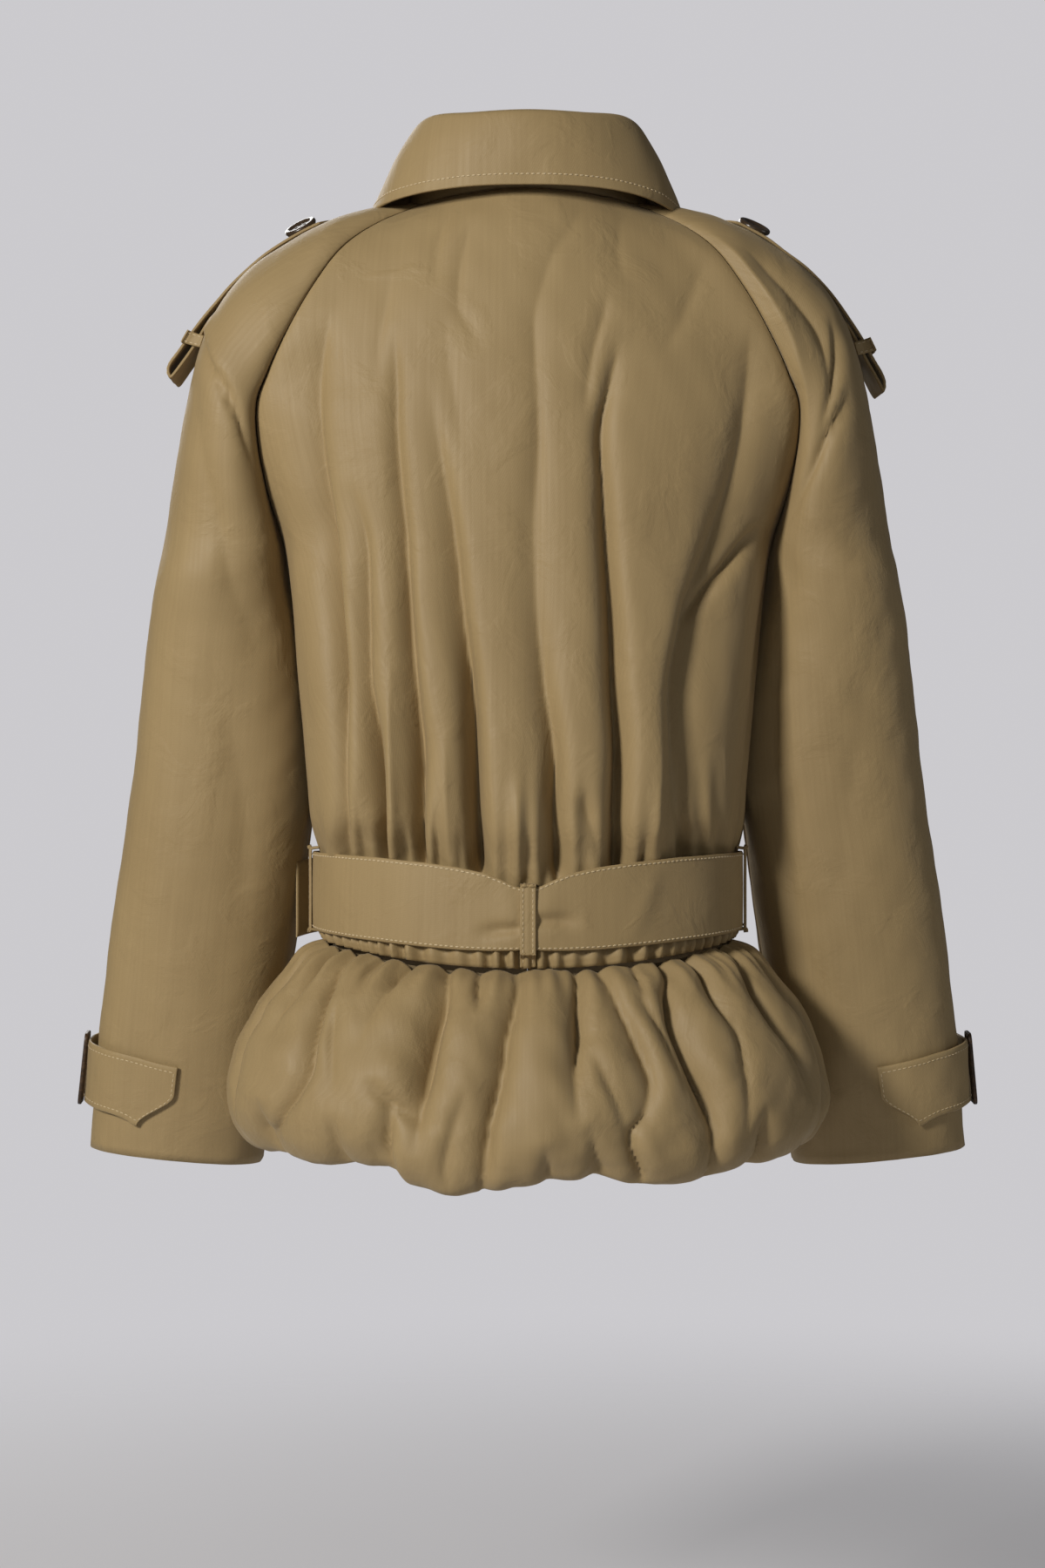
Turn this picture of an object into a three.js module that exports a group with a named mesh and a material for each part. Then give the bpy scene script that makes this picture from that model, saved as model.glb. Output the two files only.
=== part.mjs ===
// A belted peplum jacket in its worn form: raglan sleeves, a gathered waist and a bubble peplum.
// Millimetres, +Z up. The front faces -Y and the wearer's left is +X.
// The origin is the middle of the neck opening, level with the centre-back neck seam.

import * as THREE from 'three';

// Cloth and seams
const WALL = 2;
const SEAM_GAP = 0.3;
const LAY_GAP = 0.5;
const SHARED_RIM_LEAST = 0.2;

// Grid counts
const BACK_COLUMNS = 36;
const FRONT_COLUMNS = 11;
const SLEEVE_COLUMNS = 22;
const COLLAR_COLUMNS = 26;
const GATHERS = 76;
const PEPLUM_COLUMNS = 80;
const BELT_COLUMNS = 48;

// Front closing
const OVERLAP = 20;
const OVERLAP_BLEND = 34;

// Waist
const WAIST_SEAM_Z = -474;
const CASING_FOOT_Z = -519;
const CASING_SIDE_RISE = 15;
const GATHER_HEIGHT = 1.8;
const BELT = { halfWidth: 148, back: 107, front: -104 };
const CASING_WALL = 1.5;
const SLIT_ANGLE = 0.25;

// Straps, carriers, buttons and buckles
const STRAP_WIDTH = 40;
const CARRIER_WIDTH = 10;
const BUTTON = { radius: 11.5, rim: 3.6, dish: 2.4, rimWidth: 2.6, sides: 12 };

const MATERIALS = {
  cloth: { color: 0x8f7a52, roughness: 0.62, metalness: 0 },
  under: { color: 0x6d5b3b, roughness: 0.75, metalness: 0 },
  horn: { color: 0x33241a, roughness: 0.35, metalness: 0 },
};

const DEGREE = Math.PI / 180;
const { clamp, lerp, smoothstep } = THREE.MathUtils;

/** Rows of named columns, from a line of names and lists of values. */
function table(names, ...lists) {
  const keys = names.split(' ');
  return lists.map((list) => Object.fromEntries(keys.map((key, k) => [key, list[k]])));
}

// The yoke, a row for each level from the neck seam to the underarm point. Its columns are the back
// and front raglan seams, the shoulder line, the two centres, the bends and the sleeve's fullness.
const YOKE = table(
  'backX backY backZ frontX frontY frontZ topX topY topZ ' +
    'midBackY midBackZ midFrontY midFrontZ backBend frontBend capBend fullness',
  [74, 25, -4, 80, -22, -12, 84, 2, -4, 62, 0, -70, -62, 2, 2, 1, 0],
  [100, 40, -19, 101, -42, -30, 114, -2, -7, 76, -26, -82, -82, 2, 2, 1, 0],
  [122, 52, -39, 118, -58, -52, 143, -5, -17, 86, -52, -90, -100, 2, 1.9, 1, 2],
  [141, 62, -67, 132, -70, -78, 170, -6, -32, 95, -80, -97, -118, 2, 1.8, 1, 6],
  [157, 66, -96, 145, -76, -106, 196, -7, -53, 101, -108, -101, -136, 1.9, 1.7, 1.05, 13],
  [171, 60, -124, 157, -74, -134, 214, -9, -79, 106, -136, -104, -154, 1.7, 1.5, 1.15, 24],
  [180, 49, -150, 167, -62, -162, 227, -11, -115, 109, -165, -107, -175, 1.45, 1.3, 1.35, 38],
  [176, 26, -196, 171, -34, -200, 239, -15, -168, 111, -200, -109, -205, 1.2, 1.1, 1.7, 56],
  [167, 0, -235, 167, 0, -235, 249, -20, -225, 112, -238, -110, -238, 1, 1, 2, 68],
);

// The body under the arms, a row for each level down to the waist seam.
const BODY = table(
  'z half back front',
  [-264, 162, 113, -111],
  [-294, 159, 114, -111],
  [-327, 156, 115, -111],
  [-361, 153, 116, -111],
  [-395, 150, 116, -109],
  [-425, 148, 113, -104],
  [-449, 142, 102, -96],
  [WAIST_SEAM_Z, 138, 96, -93],
);

// The sleeve under the arm, a row for each level down to the cuff edge.
const TUBE = table(
  'outX outZ inX inZ y fullness',
  [255, -258, 167, -262, -13, 69],
  [263, -298, 160, -302, -25, 70],
  [269, -343, 154, -347, -34, 70],
  [275, -389, 152, -393, -41, 69],
  [282, -434, 154, -439, -47, 68],
  [290, -479, 160, -485, -54, 66],
  [297, -524, 168, -531, -62, 64],
  [303, -568, 175, -577, -70, 62],
  [308, -612, 183, -622, -78, 60],
  [312, -655, 190, -667, -85, 58],
);

// The long folds of the back, with the place across at the top, middle and bottom of each.
const BACK_FOLDS = table(
  'top middle bottom from to width depth peak',
  [129, 139, 126, -86, -400, 11, 6, 0.6],
  [103, 107, 100, -176, -450, 9, 11, 1],
  [82, 83, 68, -70, -450, 9, 11, 1],
  [51, 48, 27, -62, -450, 9, 11, 1],
  [-23, -6, -20, -39, -450, 15, 12, 1],
  [-57, -56, -63, -122, -450, 10, 14, 1],
  [-122, -112, -96, -200, -450, 15, 13, 1],
  [-136, -130, -124, -330, -450, 8, 6, 1],
  [128, 126, 124, -330, -450, 8, 6, 1],
);

// The folds of the two fronts, in the same way.
const FRONT_FOLDS = table(
  'top middle bottom from to width depth peak',
  [118, 122, 112, -190, -450, 12, 10, 1],
  [76, 84, 76, -150, -450, 11, 11, 1],
  [44, 48, 42, -230, -450, 9, 8, 1],
  [-50, -46, -42, -210, -450, 10, 9, 1],
  [-88, -80, -78, -160, -450, 11, 11, 1],
  [-124, -118, -114, -200, -450, 12, 9, 1],
);

// The creases of the sleeves, placed by the share of the way round from the back seam.
const SLEEVE_FOLDS = {
  left: table(
    'top middle bottom from to width depth peak',
    [0.2, 0.15, 0.1, -70, -190, 0.035, 7, 0.5],
    [0.34, 0.24, 0.14, -120, -330, 0.05, 5, 0.6],
    [0.28, 0.2, 0.16, -300, -520, 0.06, 5, 0.5],
    [0.4, 0.34, 0.3, -420, -640, 0.06, 3, 0.5],
    [0.8, 0.84, 0.88, -110, -340, 0.05, 6, 0.5],
    [0.68, 0.78, 0.84, -330, -560, 0.06, 5, 0.5],
  ),
  right: table(
    'top middle bottom from to width depth peak',
    [0.26, 0.17, 0.1, -80, -250, 0.04, 9, 0.5],
    [0.38, 0.27, 0.16, -130, -330, 0.045, 8, 0.5],
    [0.33, 0.26, 0.2, -290, -500, 0.06, 5, 0.5],
    [0.44, 0.37, 0.3, -400, -630, 0.06, 4, 0.5],
    [0.82, 0.85, 0.88, -100, -330, 0.05, 7, 0.5],
    [0.7, 0.78, 0.84, -320, -560, 0.06, 5, 0.5],
  ),
};

// The collar from the centre back to its front end: neck seam, fold line and free edge.
const COLLAR = table(
  'neckX neckY neckZ foldX foldY foldZ edgeX edgeY edgeZ',
  [0, 62, 0, 0, 70, 47, 0, 95, -3],
  [34, 54, -0.8, 34, 64, 47, 44, 90, -3],
  [62, 36, -2.6, 62, 42, 46, 82, 68, -3],
  [81.5, 14, -2.4, 76, 12, 42, 107, 22, 1],
  [84, -12, -6.5, 75, -18, 32, 108, -30, -8],
  [62, -41, -31, 56, -48, 10, 93, -64, -38],
  [6, -70, -58, 6, -68, -24, 58, -88, -76],
);

// The bubble peplum, a row for each level from the casing seam to the turned-up hem.
const PEPLUM = table(
  'half side back front z rise swell tuck',
  [140, 0, 100, -98, CASING_FOOT_Z - SEAM_GAP, 1, 0.15, 0],
  [160, 6, 119, -106, -525, 0.95, 0.5, 0],
  [175, 12, 137, -111, -538, 0.8, 0.85, 0],
  [190, 17, 153, -116, -556, 0.5, 1, 0],
  [202, 20, 165, -120, -582, 0.2, 1, 0],
  [206, 22, 170, -122, -610, 0, 0.9, 0.3],
  [203, 22, 168, -121, -633, 0, 0.7, 0.8],
  [194, 21, 160, -117, -648, 0, 0.5, 1],
  [181, 19, 149, -110, -654, 0, 0.3, 0.8],
  [168, 17, 139, -102, -648, 0, 0.1, 0.2],
  [164, 16, 135, -99, -638, 0, 0, 0],
);

// The big folds of the peplum, by the angle from the centre back at the top, middle and foot.
const PEPLUM_FOLDS = table(
  'top middle foot width depth',
  [53, 50, 47, 4.5, 15],
  [73, 76, 80, 4.5, 12],
  [33, 35, 31, 3.5, 8],
  [20, 19, 17, 4, 15],
  [3, 5, 9, 3.5, 9],
  [-12, -15, -8, 3.5, 9],
  [-20, -24, -28, 4.5, 14],
  [-38, -31, -38, 4, 12],
  [-50, -49, -53, 3.5, 9],
  [-61, -67, -74, 4.5, 14],
  [98, 100, 98, 4.5, 13],
  [118, 115, 119, 4.5, 13],
  [137, 140, 136, 4.5, 12],
  [158, 157, 160, 4, 10],
  [-97, -98, -96, 4.5, 13],
  [-116, -118, -114, 4.5, 13],
  [-138, -135, -139, 4.5, 12],
  [-158, -160, -157, 4, 10],
);
const HEM_TUCKS = 31;
const HEM_TUCK_DEPTH = 2.6;

/** A smooth curve through one column of a table, at a place counted in rows. */
function along(rows, name, place) {
  const last = rows.length - 1;
  const i = Math.min(Math.floor(clamp(place, 0, last)), last - 1);
  const t = clamp(place, 0, last) - i;
  const value = (k) => rows[clamp(k, 0, last)][name];
  const slope = (k) => (value(k + 1) - value(k - 1)) / (k > 0 && k < last ? 2 : 1);
  const span = value(i + 1) - value(i);
  const cube = slope(i) + slope(i + 1) - 2 * span;
  const square = 3 * span - 2 * slope(i) - slope(i + 1);
  return value(i) + t * (slope(i) + t * (square + t * cube));
}

/** The depth of a table of folds at a place across and a height, each fold a soft trough. */
function foldDepth(folds, across, z) {
  let depth = 0;
  for (const fold of folds) {
    const t = clamp((fold.from - z) / (fold.from - fold.to), 0, 1);
    const rise = t <= fold.peak ? t / fold.peak : (1 - t) / (1 - fold.peak);
    const middle = fold.middle - (fold.top + fold.bottom) / 2;
    const line = lerp(fold.top, fold.bottom, t) + 4 * middle * t * (1 - t);
    const away = (across - line) / fold.width;
    depth += fold.depth * smoothstep(rise, 0, 1) * Math.exp(-away * away);
  }
  return depth;
}

function grid(rowCount, columnCount, pointAt) {
  const steps = (count) => Array.from({ length: count + 1 }, (_, k) => k);
  return steps(rowCount).map((i) => steps(columnCount).map((j) => pointAt(i, j)));
}

/** The outward normal at each point of a grid whose columns run clockwise seen from above. */
function normals(points) {
  const lastRow = points.length - 1;
  const lastColumn = points[0].length - 1;
  return points.map((row, i) => row.map((_, j) => {
    const acrossStep = row[Math.min(j + 1, lastColumn)].clone().sub(row[Math.max(j - 1, 0)]);
    const downStep = points[Math.min(i + 1, lastRow)][j].clone().sub(points[Math.max(i - 1, 0)][j]);
    return acrossStep.cross(downStep).normalize();
  }));
}

/** A panel: its points and normals, with the points moved out by an amount for each. */
function panel(points, outAt) {
  const facing = normals(points);
  if (!outAt) return { points, facing };
  const moved = points.map((row, i) => row.map((p, j) => (
    p.clone().addScaledVector(facing[i][j], outAt(p, i, j))
  )));
  return { points: moved, facing: normals(moved) };
}

/** The other side's panel: mirrored across the centre, with its columns turned round. */
function mirrored(source) {
  const flip = (row) => row.map((p) => new THREE.Vector3(-p.x, p.y, p.z)).reverse();
  return { points: source.points.map(flip), facing: source.facing.map(flip) };
}

/** Gives two edges of points one direction through the wall, so that their rims stay parallel. */
function shareRims(first, second) {
  first.forEach((a, k) => {
    const b = second[k];
    if (a.dot(b) < SHARED_RIM_LEAST) return;
    a.add(b).normalize();
    b.copy(a);
  });
}

const column = (source, j, from = 0, to = undefined) => (
  source.facing.slice(from, to).map((row) => row.at(j))
);

/** A closed solid from a panel: its outer skin, an inner skin one wall in, and the rims between. */
function wall({ points, facing }, thickness = WALL) {
  const rows = points.length;
  const columns = points[0].length;
  const inner = points.map((row, i) => row.map((p, j) => (
    p.clone().addScaledVector(facing[i][j], -thickness)
  )));
  const positions = [...points.flat(), ...inner.flat()].flatMap((p) => p.toArray());
  const out = (i, j) => i * columns + j;
  const back = (i, j) => rows * columns + i * columns + j;
  const index = [];
  const quad = (a, b, c, d) => index.push(a, b, c, a, c, d);
  for (let i = 0; i < rows - 1; i += 1) {
    for (let j = 0; j < columns - 1; j += 1) {
      quad(out(i, j), out(i, j + 1), out(i + 1, j + 1), out(i + 1, j));
      quad(back(i, j), back(i + 1, j), back(i + 1, j + 1), back(i, j + 1));
    }
    quad(out(i, 0), out(i + 1, 0), back(i + 1, 0), back(i, 0));
    quad(out(i + 1, columns - 1), out(i, columns - 1), back(i, columns - 1), back(i + 1, columns - 1));
  }
  for (let j = 0; j < columns - 1; j += 1) {
    quad(out(0, j + 1), out(0, j), back(0, j), back(0, j + 1));
    quad(out(rows - 1, j), out(rows - 1, j + 1), back(rows - 1, j + 1), back(rows - 1, j));
  }
  const geometry = new THREE.BufferGeometry();
  geometry.setAttribute('position', new THREE.Float32BufferAttribute(positions, 3));
  geometry.setIndex(index);
  geometry.computeVertexNormals();
  return geometry;
}

const jacket = new THREE.Group();
jacket.name = 'peplum_jacket';

function add(name, geometry, finish = 'cloth') {
  const mesh = new THREE.Mesh(geometry, new THREE.MeshStandardMaterial(MATERIALS[finish]));
  mesh.name = name;
  jacket.add(mesh);
  return mesh;
}

// ---- Body panels -------------------------------------------------------------------------------

const YOKE_ROWS = YOKE.length - 1;
const BODY_ROWS = YOKE_ROWS + BODY.length;
const yokePoint = (row, part) => new THREE.Vector3(row[`${part}X`], row[`${part}Y`], row[`${part}Z`]);

/** The edge, middle and bend of the back or front at a level. */
function bodyLevel(i, side) {
  if (i <= YOKE_ROWS) {
    const row = YOKE[i];
    const name = side === 'back' ? 'midBack' : 'midFront';
    return {
      edge: yokePoint(row, side),
      middle: new THREE.Vector3(0, row[`${name}Y`], row[`${name}Z`]),
      bend: row[`${side}Bend`],
    };
  }
  const row = BODY[i - YOKE_ROWS - 1];
  return {
    edge: new THREE.Vector3(row.half, 0, row.z),
    middle: new THREE.Vector3(0, row[side], row.z),
    bend: 1,
  };
}

/** A point of a level at x: an arch from the edge to the middle, flatter where its bend is more. */
function levelPoint({ edge, middle, bend }, x) {
  const share = clamp(Math.abs(x) / edge.x, 0, 1);
  const arch = Math.sqrt(1 - share * share) ** bend;
  return new THREE.Vector3(x, lerp(edge.y, middle.y, arch), lerp(middle.z, edge.z, share * share));
}

function backPanel() {
  const points = grid(BODY_ROWS, BACK_COLUMNS, (i, j) => {
    const level = bodyLevel(i, 'back');
    const angle = (j / BACK_COLUMNS - 0.5) * Math.PI;
    return levelPoint(level, (level.edge.x - SEAM_GAP / 2) * Math.sin(angle));
  });
  return panel(points, (p) => -foldDepth(BACK_FOLDS, p.x, p.z));
}

/** One front. Both lap over the middle line, and the wearer's right lies on the left. */
function frontPanel(side) {
  const over = side === 'right';
  const count = FRONT_COLUMNS + 2;
  const points = grid(BODY_ROWS, count, (i, j) => {
    const level = bodyLevel(i, 'front');
    const k = over ? count - j : j;
    const spread = (level.edge.x - SEAM_GAP / 2 - OVERLAP) * Math.cos((k / FRONT_COLUMNS) * 90 * DEGREE);
    const x = k <= FRONT_COLUMNS ? OVERLAP + spread : OVERLAP * (FRONT_COLUMNS + 1 - k);
    return levelPoint(level, over ? -x : x);
  });
  return panel(points, (p) => {
    const lift = over ? (WALL + SEAM_GAP) * smoothstep(p.x, -OVERLAP - OVERLAP_BLEND, -OVERLAP) : 0;
    return lift - foldDepth(FRONT_FOLDS, p.x, p.z);
  });
}

// ---- Sleeves -----------------------------------------------------------------------------------

const SLEEVE_ROWS = YOKE_ROWS + TUBE.length;

/** A sleeve's level: the two seam points, the outermost point, the bend and the fullness. */
function sleeveLevel(i) {
  if (i <= YOKE_ROWS) {
    const row = YOKE[i];
    return {
      back: yokePoint(row, 'back'),
      front: yokePoint(row, 'front'),
      top: yokePoint(row, 'top'),
      bend: row.capBend,
      fullness: row.fullness,
    };
  }
  const row = TUBE[i - YOKE_ROWS - 1];
  const inside = new THREE.Vector3(row.inX, row.y, row.inZ);
  return {
    back: inside.clone().setY(row.y + SEAM_GAP / 2),
    front: inside.clone().setY(row.y - SEAM_GAP / 2),
    top: new THREE.Vector3(row.outX, row.y, row.outZ),
    bend: 2,
    fullness: row.fullness,
  };
}

/** The left sleeve: each level arches from the back seam over the shoulder line to the front seam. */
function sleevePanel(folds) {
  const points = grid(SLEEVE_ROWS, SLEEVE_COLUMNS, (i, j) => {
    const { back, front, top, bend, fullness } = sleeveLevel(i);
    const turn = (j / SLEEVE_COLUMNS) * Math.PI;
    const middle = back.clone().add(front).multiplyScalar(0.5);
    const rise = top.clone().sub(middle);
    const clear = rise.clone().normalize().multiplyScalar(SEAM_GAP);
    const point = middle.add(clear).addScaledVector(back.clone().sub(front), Math.cos(turn) / 2);
    point.addScaledVector(rise, Math.max(Math.sin(turn), 0) ** bend);
    point.y += fullness * Math.sin(2 * turn);
    return point;
  });
  return panel(points, (p, i, j) => -foldDepth(folds, j / SLEEVE_COLUMNS, p.z));
}

const back = backPanel();
const frontLeft = frontPanel('left');
const frontRight = frontPanel('right');
const sleeveLeft = sleevePanel(SLEEVE_FOLDS.left);
const sleeveRightAsLeft = sleevePanel(SLEEVE_FOLDS.right);
for (const sleeve of [sleeveLeft, sleeveRightAsLeft]) {
  shareRims(column(sleeve, 0, YOKE_ROWS), column(sleeve, -1, YOKE_ROWS));
}
const sleeveRight = mirrored(sleeveRightAsLeft);

shareRims(column(back, -1, YOKE_ROWS), column(frontLeft, 0, YOKE_ROWS));
shareRims(column(back, 0, YOKE_ROWS), column(frontRight, -1, YOKE_ROWS));
shareRims(column(back, -1, 0, YOKE_ROWS), column(sleeveLeft, 0, 0, YOKE_ROWS));
shareRims(column(back, 0, 0, YOKE_ROWS), column(sleeveRight, -1, 0, YOKE_ROWS));
shareRims(column(frontLeft, 0, 0, YOKE_ROWS), column(sleeveLeft, -1, 0, YOKE_ROWS));
shareRims(column(frontRight, -1, 0, YOKE_ROWS), column(sleeveRight, 0, 0, YOKE_ROWS));

add('back', wall(back));
add('front_left', wall(frontLeft));
add('front_right', wall(frontRight));
add('sleeve_left', wall(sleeveLeft));
add('sleeve_right', wall(sleeveRight));

// ---- Collar ------------------------------------------------------------------------------------

const COLLAR_END = COLLAR.length - 1;
const STAND_LIFT = 0.9;

/** A point of one of the collar's three lines, from the right end (-1) to the left end (1). */
function collarLine(line, share) {
  const place = Math.abs(share) * COLLAR_END;
  const x = Math.sign(share) * along(COLLAR, `${line}X`, place);
  return new THREE.Vector3(x, along(COLLAR, `${line}Y`, place), along(COLLAR, `${line}Z`, place));
}

const collarShare = (j) => (2 * j) / COLLAR_COLUMNS - 1;

/** The stand rises from just over the neck seam to just under the fold line. */
function collarStand() {
  const levels = [0, 0.5, 1];
  return panel(grid(levels.length - 1, COLLAR_COLUMNS, (i, j) => {
    const foot = collarLine('neck', collarShare(j));
    const top = collarLine('fold', collarShare(j));
    foot.z += STAND_LIFT;
    return top.lerp(foot, levels[i]);
  }));
}

// The fall's section: how far out of the fold line and above it, then the share of the way down.
const FALL_SECTION = table(
  'out up share',
  [-1.6, 3.1, 0],
  [1.6, 3.1, 0],
  [5.2, -0.8, 0],
  [5.6, 0, 0.3],
  [3.4, 0, 0.65],
  [0, 0, 1],
);

function collarFall() {
  return panel(grid(FALL_SECTION.length - 1, COLLAR_COLUMNS, (i, j) => {
    const { out, up, share } = FALL_SECTION[i];
    const fold = collarLine('fold', collarShare(j));
    const outward = new THREE.Vector3(fold.x, fold.y, 0).normalize();
    const point = fold.clone().lerp(collarLine('edge', collarShare(j)), share);
    point.addScaledVector(outward, out);
    point.z += up;
    return point;
  }));
}

add('collar_stand', wall(collarStand()));
add('collar_fall', wall(collarFall()));

// ---- Waist casing, peplum and belt -------------------------------------------------------------

/** A point of a level ring by its angle from the centre back towards the wearer's left. */
function ringPoint({ half, side = 0, back: backY, front, z, rise = 0 }, angle) {
  const cosine = Math.cos(angle * DEGREE);
  const sine = Math.sin(angle * DEGREE);
  const depth = cosine > 0 ? backY - side : side - front;
  const lift = rise * CASING_SIDE_RISE * sine * sine;
  return new THREE.Vector3(half * sine, side + cosine * depth, z + lift);
}

const RING_REACH = 180 - SLIT_ANGLE;
const ringAngle = (j, count) => lerp(-RING_REACH, RING_REACH, j / count);

function waistCasing() {
  const levels = table(
    'half back front z rise',
    [136, 94, -92, WAIST_SEAM_Z - SEAM_GAP, 0],
    [138, 98, -96, CASING_FOOT_Z, 1],
  );
  const count = GATHERS * 2;
  return panel(
    grid(1, count, (i, j) => ringPoint(levels[i], ringAngle(j, count))),
    (p, i, j) => (j % 2 ? GATHER_HEIGHT : 0),
  );
}

/** How far in the peplum's cloth lies at an angle and a row: its big folds and its hem tucks. */
function peplumDepth(angle, row) {
  const t = clamp(row / (PEPLUM.length - 4), 0, 1);
  let depth = 0;
  for (const fold of PEPLUM_FOLDS) {
    const middle = fold.middle - (fold.top + fold.foot) / 2;
    const line = lerp(fold.top, fold.foot, t) + 4 * middle * t * (1 - t);
    const away = (angle - line) / fold.width;
    depth += fold.depth * Math.exp(-away * away);
  }
  const tucks = 1 + Math.sin(HEM_TUCKS * angle * DEGREE + 2 * Math.sin(3 * angle * DEGREE));
  return PEPLUM[row].swell * depth + PEPLUM[row].tuck * HEM_TUCK_DEPTH * tucks;
}

const wholePeplum = panel(
  grid(PEPLUM.length - 1, PEPLUM_COLUMNS, (i, j) => ringPoint(PEPLUM[i], ringAngle(j, PEPLUM_COLUMNS))),
  (p, i, j) => -peplumDepth(ringAngle(j, PEPLUM_COLUMNS), i),
);

const PEPLUM_DRAW = 0.22;

/** A stretch of a panel between two columns, with each end drawn in a little at its seam. */
function stretch(source, from, to) {
  const points = source.points.map((row) => {
    const part = row.slice(from, to + 1).map((p) => p.clone());
    const draw = (end, next) => {
      const inward = next.clone().sub(end).normalize();
      end.addScaledVector(inward, PEPLUM_DRAW);
    };
    draw(part[0], part[1]);
    draw(part.at(-1), part.at(-2));
    return part;
  });
  return { points, facing: source.facing.map((row) => row.slice(from, to + 1)) };
}

/** The plain inner wall, from inside the casing down to the end of the turned-up hem. */
function peplumInner() {
  const hem = PEPLUM.at(-1);
  const levels = table(
    'half side back front z rise',
    [134, 0, 93, -91, CASING_FOOT_Z - 4, 1],
    [150, 10, 118, -95, -580, 0],
    [hem.half + WALL, hem.side, hem.back + WALL, hem.front - WALL, hem.z + 1.2, 0],
  );
  const count = 40;
  return panel(grid(levels.length - 1, count, (i, j) => ringPoint(levels[i], ringAngle(j, count))));
}

const PEPLUM_QUARTER = PEPLUM_COLUMNS / 4;
add('waist_casing', wall(waistCasing(), CASING_WALL));
add('peplum_front_right', wall(stretch(wholePeplum, 0, PEPLUM_QUARTER)));
add('peplum_back', wall(stretch(wholePeplum, PEPLUM_QUARTER, 3 * PEPLUM_QUARTER)));
add('peplum_front_left', wall(stretch(wholePeplum, 3 * PEPLUM_QUARTER, PEPLUM_COLUMNS)));
add('peplum_inner', wall(peplumInner()), 'under');

// The belt's two edges from the centre back round to the centre front.
const BELT_EDGES = table(
  'angle top foot',
  [0, -466, -506],
  [5, -463, -507],
  [12, -454, -507],
  [30, -449, -505],
  [60, -446, -500],
  [90, -444, -496],
  [180, -446, -499],
);

/** The height of one of the belt's edges at an angle from the centre back. */
function beltEdge(edge, angle) {
  const away = Math.abs(angle);
  const next = Math.max(BELT_EDGES.findIndex((row) => row.angle >= away), 1);
  const [before, after] = [BELT_EDGES[next - 1], BELT_EDGES[next]];
  return lerp(before[edge], after[edge], (away - before.angle) / (after.angle - before.angle));
}

/** A point over the belt: an angle, a share of the way down it and a distance out from it. */
function beltPoint(angle, share, out) {
  const ring = { half: BELT.halfWidth + out, back: BELT.back + out, front: BELT.front - out, z: 0 };
  const point = ringPoint(ring, angle);
  point.z = lerp(beltEdge('top', angle), beltEdge('foot', angle), share);
  return point;
}

// The belt's free end: its angle, how far it stands out and how far it drops.
const TAIL = table(
  'angle out drop',
  [169.5, 0, 0],
  [160, 0, 0],
  [148, 0.4, 0],
  [136, 1, 1],
  [124, 2.5, 2],
  [113, 5, 4],
  [104, 8.5, 6],
  [97, 12, 8],
);

function beltTail() {
  const rows = 2;
  const last = TAIL.length - 1;
  return panel(grid(rows, last, (i, j) => {
    const { angle, out, drop } = TAIL[last - j];
    const point = beltPoint(angle, i / rows, out + WALL + LAY_GAP);
    point.z -= drop;
    return point;
  }));
}

// A carrier's path over the belt: how far out of it and how far past its edges.
const CARRIER = table(
  'share past out',
  [0, 5, 0],
  [0, 3.4, 1.4],
  [0, 1, 2.2],
  [0.5, 0, 2.2],
  [1, -1, 2.2],
  [1, -3.6, 1.4],
  [1, -6, -3.4],
  [1, -12, -5.5],
);
const CARRIER_WALL = 1.5;

/** A carrier at an angle: how far out its upper end stands, and the share of its length below. */
function carrier(angle, root, below) {
  return panel(grid(CARRIER.length - 1, 1, (i, j) => {
    const { share, past, out: usual } = CARRIER[i];
    const out = i === 0 ? root : usual;
    const turn = (j - 0.5) * 2;
    const here = beltPoint(angle, share, out);
    const tangent = beltPoint(angle + 1, share, out).sub(beltPoint(angle - 1, share, out)).setZ(0);
    here.addScaledVector(tangent.normalize(), (turn * CARRIER_WIDTH) / 2);
    here.z += past * (share === 1 ? below : 1);
    return here;
  }));
}

const belt = panel(grid(2, BELT_COLUMNS, (i, j) => beltPoint(ringAngle(j, BELT_COLUMNS), i / 2, 0)));
add('belt', wall(belt));
add('belt_tail', wall(beltTail()));
add('belt_loop_back', wall(carrier(0, -5.5, 1), CARRIER_WALL));
add('belt_loop_left', wall(carrier(86, -1, 0.5), CARRIER_WALL));
add('belt_loop_right', wall(carrier(-86, -1, 0.5), CARRIER_WALL));

// ---- Buttons and buckles -----------------------------------------------------------------------

/** Turns a mesh to face along a direction, with its own top upwards, and puts it at a point. */
function seat(mesh, point, outward) {
  const up = new THREE.Vector3(0, 0, 1);
  const across = up.clone().cross(outward).normalize();
  const top = outward.clone().cross(across).normalize();
  mesh.quaternion.setFromRotationMatrix(new THREE.Matrix4().makeBasis(across, top, outward));
  mesh.position.copy(point);
}

/** A horn button: a turned disc with a raised rim round a shallow dish, its back at z = 0. */
function buttonGeometry() {
  const { radius, rim, dish, rimWidth, sides } = BUTTON;
  const profile = [
    [0, 0],
    [radius - 1.2, 0],
    [radius, 1.4],
    [radius - 0.6, rim],
    [radius - rimWidth, rim],
    [radius - rimWidth - 1.4, dish],
    [0, dish],
  ].map(([x, y]) => new THREE.Vector2(x, y));
  return new THREE.LatheGeometry(profile, sides).rotateX(Math.PI / 2);
}

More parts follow.
